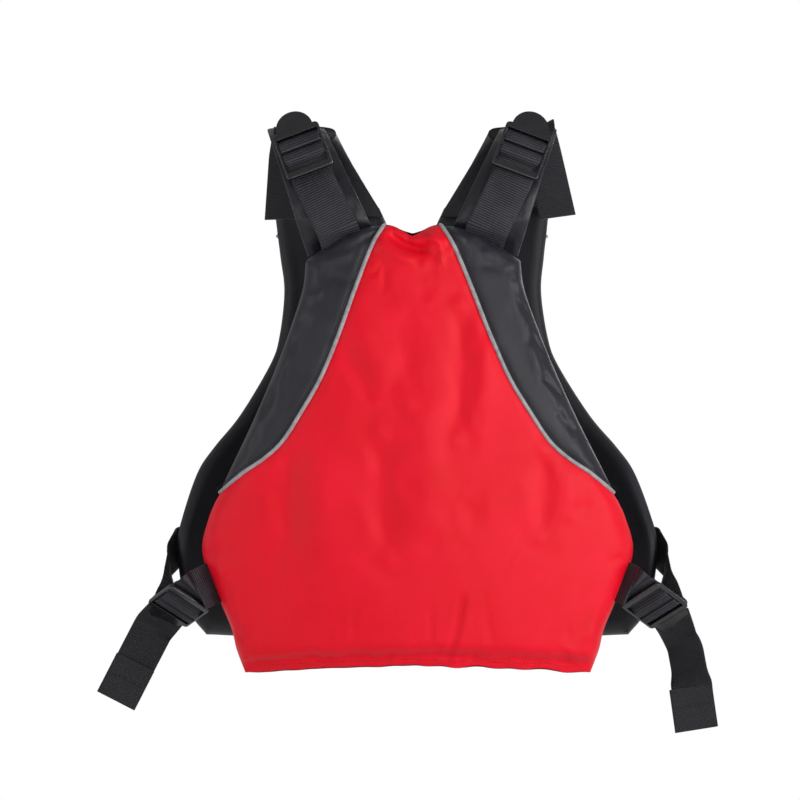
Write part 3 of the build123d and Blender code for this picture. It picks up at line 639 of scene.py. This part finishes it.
# Creases of the wings, the same way, for the wearer's left and right.
WING_FOLDS = (
    (((-107, 340), (-112, 318), (-119, 296)), 5, 1.8),
    (((-98, 322), (-106, 305), (-112, 288)), 5, -1.6),
    (((-113, 290), (-124, 268), (-132, 250)), 5, 1.8),
    (((-128, 262), (-135, 240), (-146, 222)), 4.5, -1.5),
    (((-140, 236), (-150, 214), (-160, 196)), 5.0, 1.4),
    (((-82, 356), (-70, 352), (-56, 348)), 3.5, -1.0),
    (((-90, 366), (-74, 370), (-56, 374)), 4.5, 1.6),
    (((92, 334), (97, 324), (101, 312)), 4.2, -2.2),
    (((100, 304), (110, 290), (120, 278)), 3.6, -2.2),
    (((110, 268), (122, 254), (132, 244)), 4.0, -2.4),
    (((124, 236), (134, 222), (146, 212)), 4.4, -2.0),
    (((98, 296), (106, 276), (112, 260)), 5, 1.2),
    (((58, 380), (70, 378), (84, 372)), 5, 1.5),
    (((52, 366), (64, 364), (78, 362)), 4, -1.0),
    (((30, 398), (36, 390), (44, 385)), 2.6, 1.8),
    (((36, 402), (43, 394), (52, 389)), 2.6, -1.8),
    (((46, 400), (52, 393), (60, 388)), 2.4, 1.5),
    (((-34, 396), (-42, 390), (-52, 388)), 2.8, -1.5),
    (((-48, 396), (-56, 388), (-66, 384)), 3.0, 1.6),
    (((86, 352), (96, 344), (104, 340)), 3.2, 1.8),
    (((-84, 340), (-94, 336), (-102, 338)), 3.2, 1.6),
)
FLAP = 9.0
FOLD_GAIN = 1.5
FLAP_DEPTH = 3.2


def folded(points, folds):
    """How far a set of folds moves the cloth out at each point."""
    moved = np.zeros(points.shape[:-1])
    for line, width, height in folds:
        line = curve(line, 6)
        away = line_distance(points, line)
        wander = 1 + 0.25 * np.sin(points[..., 1] / 9.0 + points[..., 0] / 13.0)
        from_end = np.minimum(*[np.linalg.norm(points - end, axis=-1) for end in (line[0], line[-1])])
        fade = 1 - np.exp(-(from_end / (1.2 * width)) ** 2)
        moved += FOLD_GAIN * height * fade * np.exp(-(away / (width * wander)) ** 2)
    return moved


def back_depth(points):
    """Depth of the back cover's outside over its own outline, with seams, puckers and soft folds."""
    d = line_distance(points, back_rim)
    hem_d = line_distance(points, np.vstack([hem_run[-1], hem_run[1][::-1]]))
    depth = FACE * edge_share(d)
    ripple = smooth_noise(points, 16.0, 17) * 2.5
    above = np.clip((hem_d - FLAP - ripple) / 16.0, 0, 1)
    filled = above * above * (3 - 2 * above)
    flap = FLAP_DEPTH * np.sqrt(np.clip(d / 3.0, 0, 1))
    depth = np.minimum(depth, flap + (FACE - FLAP_DEPTH) * np.sqrt(1 - (1 - filled) ** 2))
    depth = depth + folded(points, BACK_FOLDS + WING_FOLDS) * np.clip(d / 5, 0, 1)
    for s in (-1, 1):
        away = line_distance(points, seam_run[s])
        depth = depth - SEAM_DIP * np.exp(-(away / SEAM_WIDTH) ** 2)
        ripple = smooth_noise(points, 9.0, 3)
        depth = depth + 0.5 * ripple * np.exp(-(away / 9.0) ** 2)
    soft = smooth_noise(points * np.array([1.0, 0.4]), 42.0, 11) * 0.9
    fine = smooth_noise(points * np.array([1.0, 0.6]), 17.0, 5) * 0.35
    pucker = smooth_noise(points * np.array([1.0, 0.45]), 7.0, 8) * 1.3 * np.exp(-(d - 6) ** 2 / 90)
    return depth + (soft + fine) * np.clip(d / 20, 0, 1) + pucker * np.clip(d / 4, 0, 1)


def flipped(faces):
    return [f[::-1] for f in faces]


def tidy_ends(piece, distance=0.0004):
    """Joins points that lie on each other at a patch's narrow end."""
    work = bmesh.new()
    work.from_mesh(piece.data)
    bmesh.ops.remove_doubles(work, verts=work.verts, dist=distance)
    work.to_mesh(piece.data)
    work.free()


def panel(name, surface, grid, depth, look, turned):
    """One piece of a panel's skin, from a grid of outline points."""
    points = surface(grid[..., 0], grid[..., 1], depth)
    faces = grid_faces(*grid.shape[:2])
    piece = make_mesh(name, points, flipped(faces) if turned else faces, look)
    tidy_ends(piece)
    return piece


centre_sides = {s: np.vstack([wing_edge[s][:corner - 1:-1], seam_run[s][::-1]]) for s in (-1, 1)}
hem_line = resample(np.vstack([hem_run[-1], hem_run[1][::-1]]), 160)
hem_reach = np.clip((np.abs(hem_line[:, 0]).max() - np.abs(hem_line[:, 0])) / 12.0, 0, 1)
hem_line[:, 1] += 2.2 * hem_reach * smooth_noise(hem_line, 20.0, 51)
lining_hem = hem_line - np.array([0, 1.3]) * hem_reach[:, None]
collar_line = np.vstack([neck_run[-1][collar::-1], neck_run[1][:collar + 1]])
collar_line[:, 1] -= COLLAR_SAG * np.exp(-((collar_line[:, 0] - SHOULDER_MID) / 9.0) ** 2)
centre_grid = patch(centre_sides[-1], centre_sides[1], hem_line, collar_line, 150, 110)
back_cover = panel("back_cover_cloth", back_surface, centre_grid, back_depth(centre_grid), RED, False)

wings = {}
for s, hand in SIDES:
    inner = seam_run[s][::-1]
    outer = wing_edge[s][corner::-1]
    tip = np.vstack([seam_run[s][-1:], seam_run[s][-1:]])
    top = neck_run[s][collar:]
    sides = (inner, outer) if s > 0 else (outer, inner)
    grid = patch(*sides, tip, top if s > 0 else top[::-1], 90, 34)
    wings[s] = panel(f"back_wing_cloth_{hand}", back_surface, grid, back_depth(grid), WING, False)

whole_sides = {s: wing_edge[s][::-1] for s in (-1, 1)}
whole_neck = np.vstack([neck_run[-1][::-1], neck_run[1]])
lining_grid = patch(whole_sides[-1], whole_sides[1], lining_hem, whole_neck, 110, 90)
lining_d = line_distance(lining_grid, back_rim)
lining_sag = smooth_noise(lining_grid, 40.0, 21) * np.clip(lining_d / 20, 0, 1)
lining_depth = -FACE * edge_share(lining_d) + lining_sag
back_lining = panel("back_lining_cloth", back_surface, lining_grid, lining_depth, LINING, True)


def along_back(line, lift=0.0):
    """Points over the back cover above a line of its outline plane, and the normals there."""
    depth = back_depth(line) + lift
    points = back_surface(line[:, 0], line[:, 1], depth)
    outward = points - np.array([0, BACK_AXIS, 0])
    outward[:, 2] = 0
    return points, outward / np.linalg.norm(outward, axis=1, keepdims=True)


def beside(line, distance):
    """A line's parallel in its own plane."""
    way = np.gradient(line, axis=0)
    way /= np.maximum(np.linalg.norm(way, axis=1, keepdims=True), 1e-9)
    return line + distance * np.stack([way[:, 1], -way[:, 0]], axis=1)


for s, hand in SIDES:
    line = resample(seam_run[s], 190)
    points, _ = along_back(line, 0.9)
    cord = tube(f"back_piping_cord_{hand}", points, PIPING_R, PIPING, sides=10, start_up=(0, -1, 0))
    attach(cord, "root")
    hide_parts(f"back_piping_{hand}")
    points, outward = along_back(beside(line, -s * 4.2), 0.25)
    stitches = dashes(f"back_seam_stitches_{hand}", points, outward, 1.9, 3.0, 0.42, BLACK_THREAD)
    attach(stitches, "root")

hem_mid = hem_line.copy()
hem_mid[:, 1] += 5.5
points, outward = along_back(resample(hem_mid, 220)[4:-4], 0.2)
stitches = dashes("hem_stitches", points, outward, 2.3, 3.4, 0.4, RED_THREAD, zigzag=0.5)
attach(stitches, "root")

for piece, nodes, fill in ((back_cover, ("back_cover",), 0.8), (wings[-1], ("back_wing_left",), 0.8),
                           (wings[1], ("back_wing_right",), 0.8), (back_lining, ("back_lining",), 0.8)):
    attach(piece, "root")
    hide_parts(*nodes)
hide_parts("back_cover", "back_foam_outer")
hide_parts("back_lining", "back_foam_inner")

# ---- front panels -------------------------------------------------------------------------------


def front_rim(s):
    """The front half's outline, up its centre and down its outer edge."""
    centre = curve(leaned(s, FRONT_CENTRE), SPAN)
    edge = curve(leaned(s, FRONT_EDGE), SPAN)
    hem = curve(leaned(s, FRONT_HEM), SPAN)
    return centre, edge, hem


def split_line(line, seam):
    """A line cut in two where it crosses a seam, both parts sharing the point on the seam."""
    k = int(np.argmin(line_distance(line, seam)))
    return line[:k + 1], line[k:]


def front_depth(points, rim, seam, seed):
    d = line_distance(points, rim)
    away = line_distance(points, seam)
    depth = FACE * edge_share(d) - SEAM_DIP * np.exp(-(away / SEAM_WIDTH) ** 2)
    soft = smooth_noise(points * np.array([1.0, 0.4]), 42.0, seed) * 1.2
    fine = smooth_noise(points * np.array([1.0, 0.6]), 17.0, seed + 4) * 0.5
    pucker = smooth_noise(points, 8.0, seed + 7) * 0.8 * np.exp(-(d - 6) ** 2 / 90)
    return depth + (soft + fine) * np.clip(d / 20, 0, 1) + pucker * np.clip(d / 4, 0, 1)


def half_patch(s, inner, outer, low, high, rows, columns):
    """A patch of one front half, whose lower and upper lines run outwards."""
    if s > 0:
        return patch(inner, outer, low, high, rows, columns)
    return patch(outer, inner, low[::-1], high[::-1], rows, columns)


def cover_spots(piece):
    """Each point of a front piece in the plane of x and height, in millimetres."""
    spots = np.array([vertex.co[:] for vertex in piece.data.vertices]) * 1000
    return spots[:, [0, 2]] - np.array([0, HEM])


for s, hand in SIDES:
    centre, edge, hem = front_rim(s)
    rim = np.vstack([centre, edge[::-1], hem[::-1]])
    seam_curve = curve(leaned(s, YOKE_SEAM), SPAN * 2)
    centre_low, centre_high = split_line(centre, seam_curve)
    edge_low, edge_high = split_line(edge, seam_curve)
    reach = np.clip(seam_curve[:, 0] * s, s * centre_high[0, 0], s * edge_high[0, 0]) * s
    seam_line = np.stack([reach, np.interp(reach * s, seam_curve[:, 0] * s, seam_curve[:, 1])], axis=1)
    seam_line[0], seam_line[-1] = centre_high[0], edge_high[0]
    top_line = np.stack([centre[-1], edge[-1]])
    for inner, outer, low, high, name, look, rows in (
            (centre_low, edge_low, hem, seam_line, "cover", BANDED_RED, 120),
            (centre_high, edge_high, seam_line, top_line, "yoke", WING, 14)):
        grid = half_patch(s, inner, outer, low, high, rows, 54)
        depth = front_depth(grid, rim, seam_line, 30 + s)
        piece = panel(f"front_{name}_cloth_{hand}", front_surface, grid, depth, look, True)
        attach(piece, "root")
        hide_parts(f"front_{name}_{hand}")
        if name == "cover":
            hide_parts(f"front_foam_outer_{hand}")
            set_attribute(piece, "from_edge", line_distance(cover_spots(piece), edge) * 0.001)
    grid = half_patch(s, centre, edge, hem, top_line, 110, 50)
    d = line_distance(grid, rim)
    depth = -FACE * edge_share(d) + smooth_noise(grid, 40.0, 41 + s) * np.clip(d / 20, 0, 1)
    piece = panel(f"front_lining_cloth_{hand}", front_surface, grid, depth, LINING, False)
    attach(piece, "root")
    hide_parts(f"front_lining_{hand}", f"front_foam_inner_{hand}")
    line = resample(seam_line, 70)
    points = front_surface(line[:, 0], line[:, 1], front_depth(line, rim, seam_line, 30 + s) + 0.9)
    cord = tube(f"front_piping_cord_{hand}", points, PIPING_R, PIPING, sides=10, start_up=(0, 1, 0))
    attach(cord, "root")
    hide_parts(f"front_piping_{hand}")

# ---- shoulder pads ------------------------------------------------------------------------------
PAD_RING = 22
PAD_TUCK = 14.0
PAD_TUCK_FROM = 404.0
PAD_TUCK_OVER = 26.0


def arch_pad(name, s, inner_line, outer_line, first, last, low, high, look, puff, seed):
    """A padded band over the shoulder, between two angles round the arch, 0 at the back and 180 in front."""
    inner_line, outer_line = np.array(inner_line, float), np.array(outer_line, float)
    angles = np.radians(np.linspace(first, last, 60))
    rings = []
    for a in angles:
        h = ARCH_HEIGHT + (ARCH_RISE + high) * math.sin(a)
        x_in = np.interp(h, inner_line[:, 1], inner_line[:, 0])
        x_out = np.interp(h, outer_line[:, 1], outer_line[:, 0])
        ring = []
        for k in range(2 * PAD_RING):
            turn = 2 * math.pi * k / (2 * PAD_RING)
            u = math.copysign(abs(math.cos(turn)) ** 0.55, math.cos(turn))
            v = math.copysign(abs(math.sin(turn)) ** 0.75, math.sin(turn))
            x = (x_in + x_out) / 2 + u * (x_out - x_in) / 2
            t = (low + high) / 2 + v * (high - low) / 2
            ripple = noise.noise(Vector((x / 11, math.degrees(a) / 9, seed + v)))
            t += puff * ripple * abs(v)
            lean = leaned(s, [(x, h)])[0, 0]
            tuck = PAD_TUCK * min(1.0, max(0.0, (PAD_TUCK_FROM - h) / PAD_TUCK_OVER)) * (math.cos(a) > 0)
            ring.append((lean, ARCH_Y + tuck - (ARCH_DEPTH + t) * math.cos(a),
                         HEM + ARCH_HEIGHT + (ARCH_RISE + t) * math.sin(a)))
        rings.append(ring)
    points = np.array(rings).reshape(-1, 3)
    count = 2 * PAD_RING
    faces = grid_faces(len(angles), count, wrap=True)
    faces.append(tuple(range(count))[::-1])
    faces.append(tuple(len(points) - count + k for k in range(count)))
    if s > 0:
        faces = flipped(faces)
    piece = make_mesh(name, points, faces, look)
    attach(piece, "root")
    return piece


for s, hand in SIDES:
    pad = arch_pad(f"shoulder_rear_cushion_{hand}", s, ((28, 380), (62, 454), (88, 510)),
                   ((94, 368), (120, 454), (139, 510)), -24, 92, 8.5, PAD_T - 1.0, SHINY, 1.6, 5 + s)
    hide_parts(f"shoulder_rear_pad_{hand}")
    pad = arch_pad(f"shoulder_front_cushion_{hand}", s, ((21, 404), (31, 426), (56.5, 470), (80.5, 515)),
                   ((130, 420), (134, 465), (128, 492), (123, 515)), 88, 174, 0.0, PAD_T, LINING, 0.6, 9 + s)
    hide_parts(f"shoulder_front_pad_{hand}")

# ---- webbing ------------------------------------------------------------------------------------
WEB_T = 1.6
STEP = 0.6
RIB = 0.16
# How far across the width each point of a ribbon's section lies, from edge to edge.
ACROSS = np.array([-1, -0.97, -0.85, -0.6, -0.35, -0.12, 0.12, 0.35, 0.6, 0.85, 0.97, 1])
PLY_UPPER, PLY_LOWER = -3.6, -5.3
FLEX, TAIL_FLEX = 24.6, 41.5
LOCK_BARS = (-3.0, 8.0)
BAR_FACE = 2.9
BAR_TURN = 4.2
LOCK_BEND = 2.6
TAIL_RIBS = {"rib_pitch": 1.5, "rib": 0.05}
SHOULDER_HIDDEN = (61.5, -83.0, 378.0)
SHOULDER_BEND = (67.0, -93.5, 396.0)
STRAP_OUT = 15.1
STRAP_HEIGHTS = (427, 510)
STRAP_REACH = (83, 115)
BELT_START = 20
BELT_END = 214
TAIL_FOLD = 40
TAIL_STITCHES = 22


def lock_place(origin, along, outward):
    """A lock's middle and its axes across, along and out of the webbing."""
    along = unit(along)
    across = unit(np.cross(along, outward))
    return np.array(origin, float), across, along, np.cross(across, along)


def local(place, x, y, z):
    origin, across, along, out = place
    return origin + x * across + y * along + z * out


def ribbon(name, centres, acrosses, look, rib_pitch=2.15, rib=RIB, width=WEB, wave=0.0, thickness=WEB_T):
    """A strap of webbing through centre points, with its width along the given directions."""
    centres, acrosses = np.asarray(centres, float), np.asarray(acrosses, float)
    length = np.linalg.norm(np.diff(centres, axis=0), axis=1).sum()
    line = resample(np.hstack([centres, acrosses * 0.001]), max(6, int(length / STEP)))
    middle, side = line[:, :3], line[:, 3:]
    way = np.gradient(middle, axis=0)
    way /= np.maximum(np.linalg.norm(way, axis=1, keepdims=True), 1e-9)
    side = side - way * np.sum(side * way, axis=1, keepdims=True)
    side /= np.linalg.norm(side, axis=1, keepdims=True)
    out = np.cross(side, way)
    along = np.concatenate([[0], np.cumsum(np.linalg.norm(np.diff(middle, axis=0), axis=1))])
    ribs = rib * np.sin(2 * math.pi * along / rib_pitch)
    count = 2 * len(ACROSS)
    rings, marks = [], []
    for k in range(len(middle)):
        edge_wave = 0.15 * math.sin(along[k] * 2 * math.pi / rib_pitch + 1.0)
        for sign in (1, -1):
            for t in ACROSS[::sign]:
                half = thickness / 2 * (1 - 0.75 * max(0.0, (abs(t) - 0.93) / 0.07) ** 2)
                cup = wave * math.sin(along[k] / 21.0 + 2.1 * t)
                height = sign * (half + ribs[k] * (1 if abs(t) < 0.95 else 0.3)) + cup
                rings.append(middle[k] + side[k] * t * (width / 2 + edge_wave * (abs(t) > 0.96))
                             + out[k] * height)
                marks.append((along[k], t * width / 2))
    faces = grid_faces(len(middle), count, wrap=True)
    faces.append(tuple(range(count))[::-1])
    faces.append(tuple((len(middle) - 1) * count + k for k in range(count)))
    piece = make_mesh(name, rings, flipped(faces), look)
    marks = np.array(marks)
    set_attribute(piece, "along", marks[:, 0] * 0.001)
    set_attribute(piece, "across", marks[:, 1] * 0.001)
    return piece


def loop_points(place, bar, s, far_upper, far_lower, from_upper=True):
    """The way of webbing over one bar of a lock, in the lock's own height and length."""
    points = [(s * far_upper, PLY_UPPER), (bar + s * 9, PLY_UPPER), (bar + s * 3.5, BAR_FACE),
              (bar - s * BAR_TURN, BAR_FACE), (bar - s * BAR_TURN, -BAR_FACE), (bar + s * 5, PLY_LOWER),
              (s * far_lower, PLY_LOWER)]
    world_points = [local(place, 0, y, z) for y, z in points]
    return world_points if from_upper else world_points[::-1]


def spot_on(s, spot, lean=0.0):
    """A right-hand place of (x, y, height), on either side and moved over by a lean."""
    x, y, h = spot
    return np.array([s * x + lean, y, HEM + h])


def shoulder_place(s):
    along = (s * SHOULDER_ALONG[0], *SHOULDER_ALONG[1:])
    return lock_place(spot_on(s, SHOULDER_LOCK, SHOULDER_MID), along, (0, -1, 0))


def waist_place(s):
    spot, along, outward = WAIST_LOCKS[s > 0]
    return lock_place(spot_on(1, spot), along, outward)


def strap_through(name, points, acrosses, radius, look, **settings):
    """A strap along a rounded polyline, with a direction across at each of its points."""
    line = rounded_path([np.concatenate([p, unit(a) * 0.001]) for p, a in zip(points, acrosses)], radius)
    return ribbon(name, line[:, :3], line[:, 3:], look, **settings)


def hold(strap, part, hand):
    """Webbing that goes from the jacket round a lock's bar, in place of the CAD's run and loop."""
    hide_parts(f"{part}_{hand}", f"{part}_loop_{hand}")
    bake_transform(strap)


def shoulder_anchor(s, hand, place):
    """The webbing from the top of the wing, round the lock's lower bar."""
    route = [spot_on(s, SHOULDER_HIDDEN, SHOULDER_MID), spot_on(s, SHOULDER_BEND, SHOULDER_MID),
             local(place, 0, -FLEX - 6, PLY_UPPER)]
    route += loop_points(place, LOCK_BARS[0], -1, FLEX, FLEX)
    acrosses = [place[1]] * len(route)
    anchor = strap_through(f"shoulder_anchor_webbing_{hand}", route, acrosses, LOCK_BEND, WEBBING)
    hold(anchor, "shoulder_anchor", hand)


def shoulder_strap(s, hand, place):
    """The strap from the front, over the cushion and round the lock's upper bar."""
    across = place[1]
    route, acrosses = [], []
    for a in np.radians(np.linspace(168, 108, 24)):
        y = ARCH_Y - (ARCH_DEPTH + STRAP_OUT) * math.cos(a)
        h = ARCH_HEIGHT + (ARCH_RISE + STRAP_OUT) * math.sin(a)
        route.append(spot_on(s, (np.interp(h, STRAP_HEIGHTS, STRAP_REACH), y, h), SHOULDER_MID))
        acrosses.append(unit((s, 0, -0.25 * abs(math.cos(math.atan2(h - ARCH_HEIGHT, y - ARCH_Y))))))
    loop = loop_points(place, LOCK_BARS[1], 1, FLEX - 4, FLEX - 4, from_upper=False)
    route += loop
    acrosses += [across * s * np.sign(across[0] * s)] * len(loop)
    acrosses = [a if a[0] * s > 0 else -a for a in acrosses]
    strap = strap_through(f"shoulder_strap_webbing_{hand}", route, acrosses, LOCK_BEND, WEBBING)
    hold(strap, "shoulder_strap", hand)


def shoulder_tail(s, hand, place, tail_ends):
    """The strap's free end, which comes out below the thumb tab and hangs beside the lock."""
    across = place[1]
    top, end = [spot_on(s, spot, SHOULDER_MID) for spot in tail_ends]
    flat = unit(np.cross(end - top, (s * 0.5, -1, 0)))
    flat = flat if flat[0] * s > 0 else -flat
    side = across if across[0] * s > 0 else -across
    route = [local(place, 0, FLEX - 8, PLY_UPPER - 0.2), local(place, 2, FLEX - 2, PLY_UPPER - 2),
             top + np.array([-s * 6, -6, 17.0]), top, (top + end) / 2, end]
    tail = strap_through(f"shoulder_tail_webbing_{hand}", route, [side, side, flat, flat, flat, flat], 9.0,
                         TAIL_WEBBING, wave=0.3, **TAIL_RIBS)
    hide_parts(f"shoulder_tail_{hand}")
    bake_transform(tail)


def waist_anchor(s, hand, place):
    """The webbing from the side seam, round the lock's near bar."""
    across = place[1]
    sewn = spot_on(s, WAIST_SEWN)
    flex = local(place, 0, -FLEX - 6, PLY_UPPER)
    steep = np.array([-s * 0.4, 0.0, -0.92])
    steep = steep * np.sign(steep @ across)
    route = [sewn, sewn * 0.45 + flex * 0.55, flex]
    route += loop_points(place, LOCK_BARS[0], -1, FLEX, FLEX)
    acrosses = [steep, steep] + [across] * (len(route) - 2)
    anchor = strap_through(f"waist_anchor_webbing_{hand}", route, acrosses, LOCK_BEND, WEBBING)
    hold(anchor, "waist_anchor", hand)


def waist_strap(s, hand, place):
    """The belt from the buckle, round the side and through the lock's far bar."""
    across = place[1]
    down = np.array([0, 0, -1.0])
    belt_x = np.linspace(BELT_START, BELT_END, 40)
    route = list(front_surface(s * belt_x, np.full(40, BELT_HEIGHT), FACE + 1.1))
    acrosses = [down] * len(route)
    joined = np.sign(across @ down) * across
    for spot, (ax, ay, az) in WAIST_WRAP:
        route.append(spot_on(s, spot))
        acrosses.append(np.array([s * ax, ay, az]))
    route.append(local(place, s * WAIST_UNDER[0], *WAIST_UNDER[1:]))
    acrosses.append(joined)
    loop = loop_points(place, LOCK_BARS[1], 1, TAIL_FLEX - 19, FLEX, from_upper=False)
    route += loop
    acrosses += [joined] * len(loop)
    strap = strap_through(f"waist_strap_webbing_{hand}", route, acrosses, 4.0, WEBBING)
    hold(strap, "waist_strap", hand)


def waist_tail(s, hand, place, tail_end):
    """The belt's free end, with its twist, its folded end and the row of stitches across the fold."""
    across = place[1]
    tail_top = local(place, 0, TAIL_FLEX + 0.6, PLY_UPPER)
    end = spot_on(1, tail_end)
    run = unit(end - tail_top)
    flat = unit(np.cross(run, (s * WAIST_TAIL_FACE[0], *WAIST_TAIL_FACE[1:])))
    flat = flat * np.sign(flat @ across)
    out = np.cross(flat, run)
    long = np.linalg.norm(end - tail_top)
    turned = unit(flat + TAIL_TWIST[s > 0] * out)
    bow = -s * TAIL_BOW[s > 0] * np.array([1.0, 0, 0])
    route = [local(place, 0, TAIL_FLEX - 20, PLY_UPPER), tail_top + run * long * 0.12 + bow,
             tail_top + run * long * 0.22 + bow * 0.2, tail_top + run * long * 0.48,
             tail_top + run * long * 0.62, end]
    acrosses = [across, turned, turned, turned, flat, flat]
    tail = strap_through(f"waist_tail_webbing_{hand}", route, acrosses, 8.0, TAIL_WEBBING, **TAIL_RIBS)
    shift = flat * np.sign(flat[0]) * TAIL_FOLD_SHIFT[s > 0]
    fold = [end + out * (0.5 + 1.2 * share) - run * TAIL_FOLD * share + shift for share in (0, 0.06, 0.5, 1)]
    fold = ribbon(f"waist_tail_fold_{hand}", fold, [flat] * 4, TAIL_WEBBING, width=WEB + 1, **TAIL_RIBS)
    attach(fold, f"waist_tail_{hand}")
    row = np.linspace(-WEB / 2 + 2, WEB / 2 - 2, 24)[:, None]
    lines = end + out * 2.5 + shift - run * TAIL_STITCHES + row * flat
    stitches = dashes(f"waist_tail_stitches_{hand}", lines, np.tile(out, (24, 1)), 1.6, 2.4, 0.35,
                      BLACK_THREAD)
    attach(stitches, f"waist_tail_{hand}")
    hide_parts(f"waist_tail_{hand}")
    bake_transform(tail)


for (s, hand), tail_ends in zip(SIDES, SHOULDER_TAILS):
    place = shoulder_place(s)
    shoulder_anchor(s, hand, place)
    shoulder_strap(s, hand, place)
    shoulder_tail(s, hand, place, tail_ends)

for (s, hand), tail_end in zip(SIDES, WAIST_TAIL_ENDS):
    place = waist_place(s)
    waist_anchor(s, hand, place)
    waist_strap(s, hand, place)
    waist_tail(s, hand, place, tail_end)

# ---- belt keepers and zip tapes -----------------------------------------------------------------
bands = []
for s, _ in SIDES:
    for x in (KEEPER_X - KEEPER_HALF, KEEPER_X, KEEPER_X + KEEPER_HALF):
        above = [WEB / 2 + gap for gap in (1, 3, 7)]
        heights = [-h for h in above[::-1]] + [0] + above
        lifts = FACE + np.array([0.9, 0.9, 3.2, 3.6, 3.2, 0.9, 0.9])
        bands.append(np.stack([front_surface(np.array([s * x]), np.array([BELT_HEIGHT + h]), lift)[0]
                               for h, lift in zip(heights, lifts)]))
for k, (s, hand) in enumerate(SIDES):
    inner, middle, outer = bands[3 * k:3 * k + 3]
    keeper = strap_through(f"belt_keeper_webbing_{hand}", middle, (outer - inner) * s, 2.0, WEBBING,
                           width=2 * KEEPER_HALF, thickness=1.2)
    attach(keeper, "root")
    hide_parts("belt_keepers")
    row = np.linspace(-KEEPER_HALF + 2, KEEPER_HALF - 2, 16)
    for h in (-WEB / 2 - 5, WEB / 2 + 5):
        line = front_surface(s * (KEEPER_X + row), np.full(16, BELT_HEIGHT + h), FACE + 1.8)
        seam = dashes(f"belt_keeper_stitches_{hand}_{'low' if h < 0 else 'high'}", line,
                      np.tile([0, 1.0, 0], (16, 1)), 1.6, 2.4, 0.35, BLACK_THREAD)
        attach(seam, "root")

    heights = np.linspace(ZIP_LOW, ZIP_HIGH, 60)
    lean = leaned(0, np.stack([np.zeros(60), heights], axis=1))[:, 0]
    line = front_surface(lean + s * ZIP_TAPE_MID, heights, ZIP_DEPTH)
    tape = ribbon(f"zip_tape_cloth_{hand}", line, [(s, 0, 0)] * 60, ZIP_CLOTH, rib=0.04,
                  width=ZIP_TAPE_WIDTH, thickness=0.8)
    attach(tape, "root")
    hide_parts(f"zip_tape_{hand}")

# ---- hard parts ---------------------------------------------------------------------------------
for name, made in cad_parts.items():
    if "lock" in name or name.startswith("buckle"):
        look = PLASTIC
    elif name.startswith("zip_tape"):
        look = ZIP_CLOTH
    elif name.startswith(("zip_teeth", "zip_stops")):
        look = ZIP_PLASTIC
    elif name.startswith(("zip_slider", "zip_pull")):
        look = METAL
    else:
        look = WEBBING
    made.data.materials.clear()
    made.data.materials.append(look)
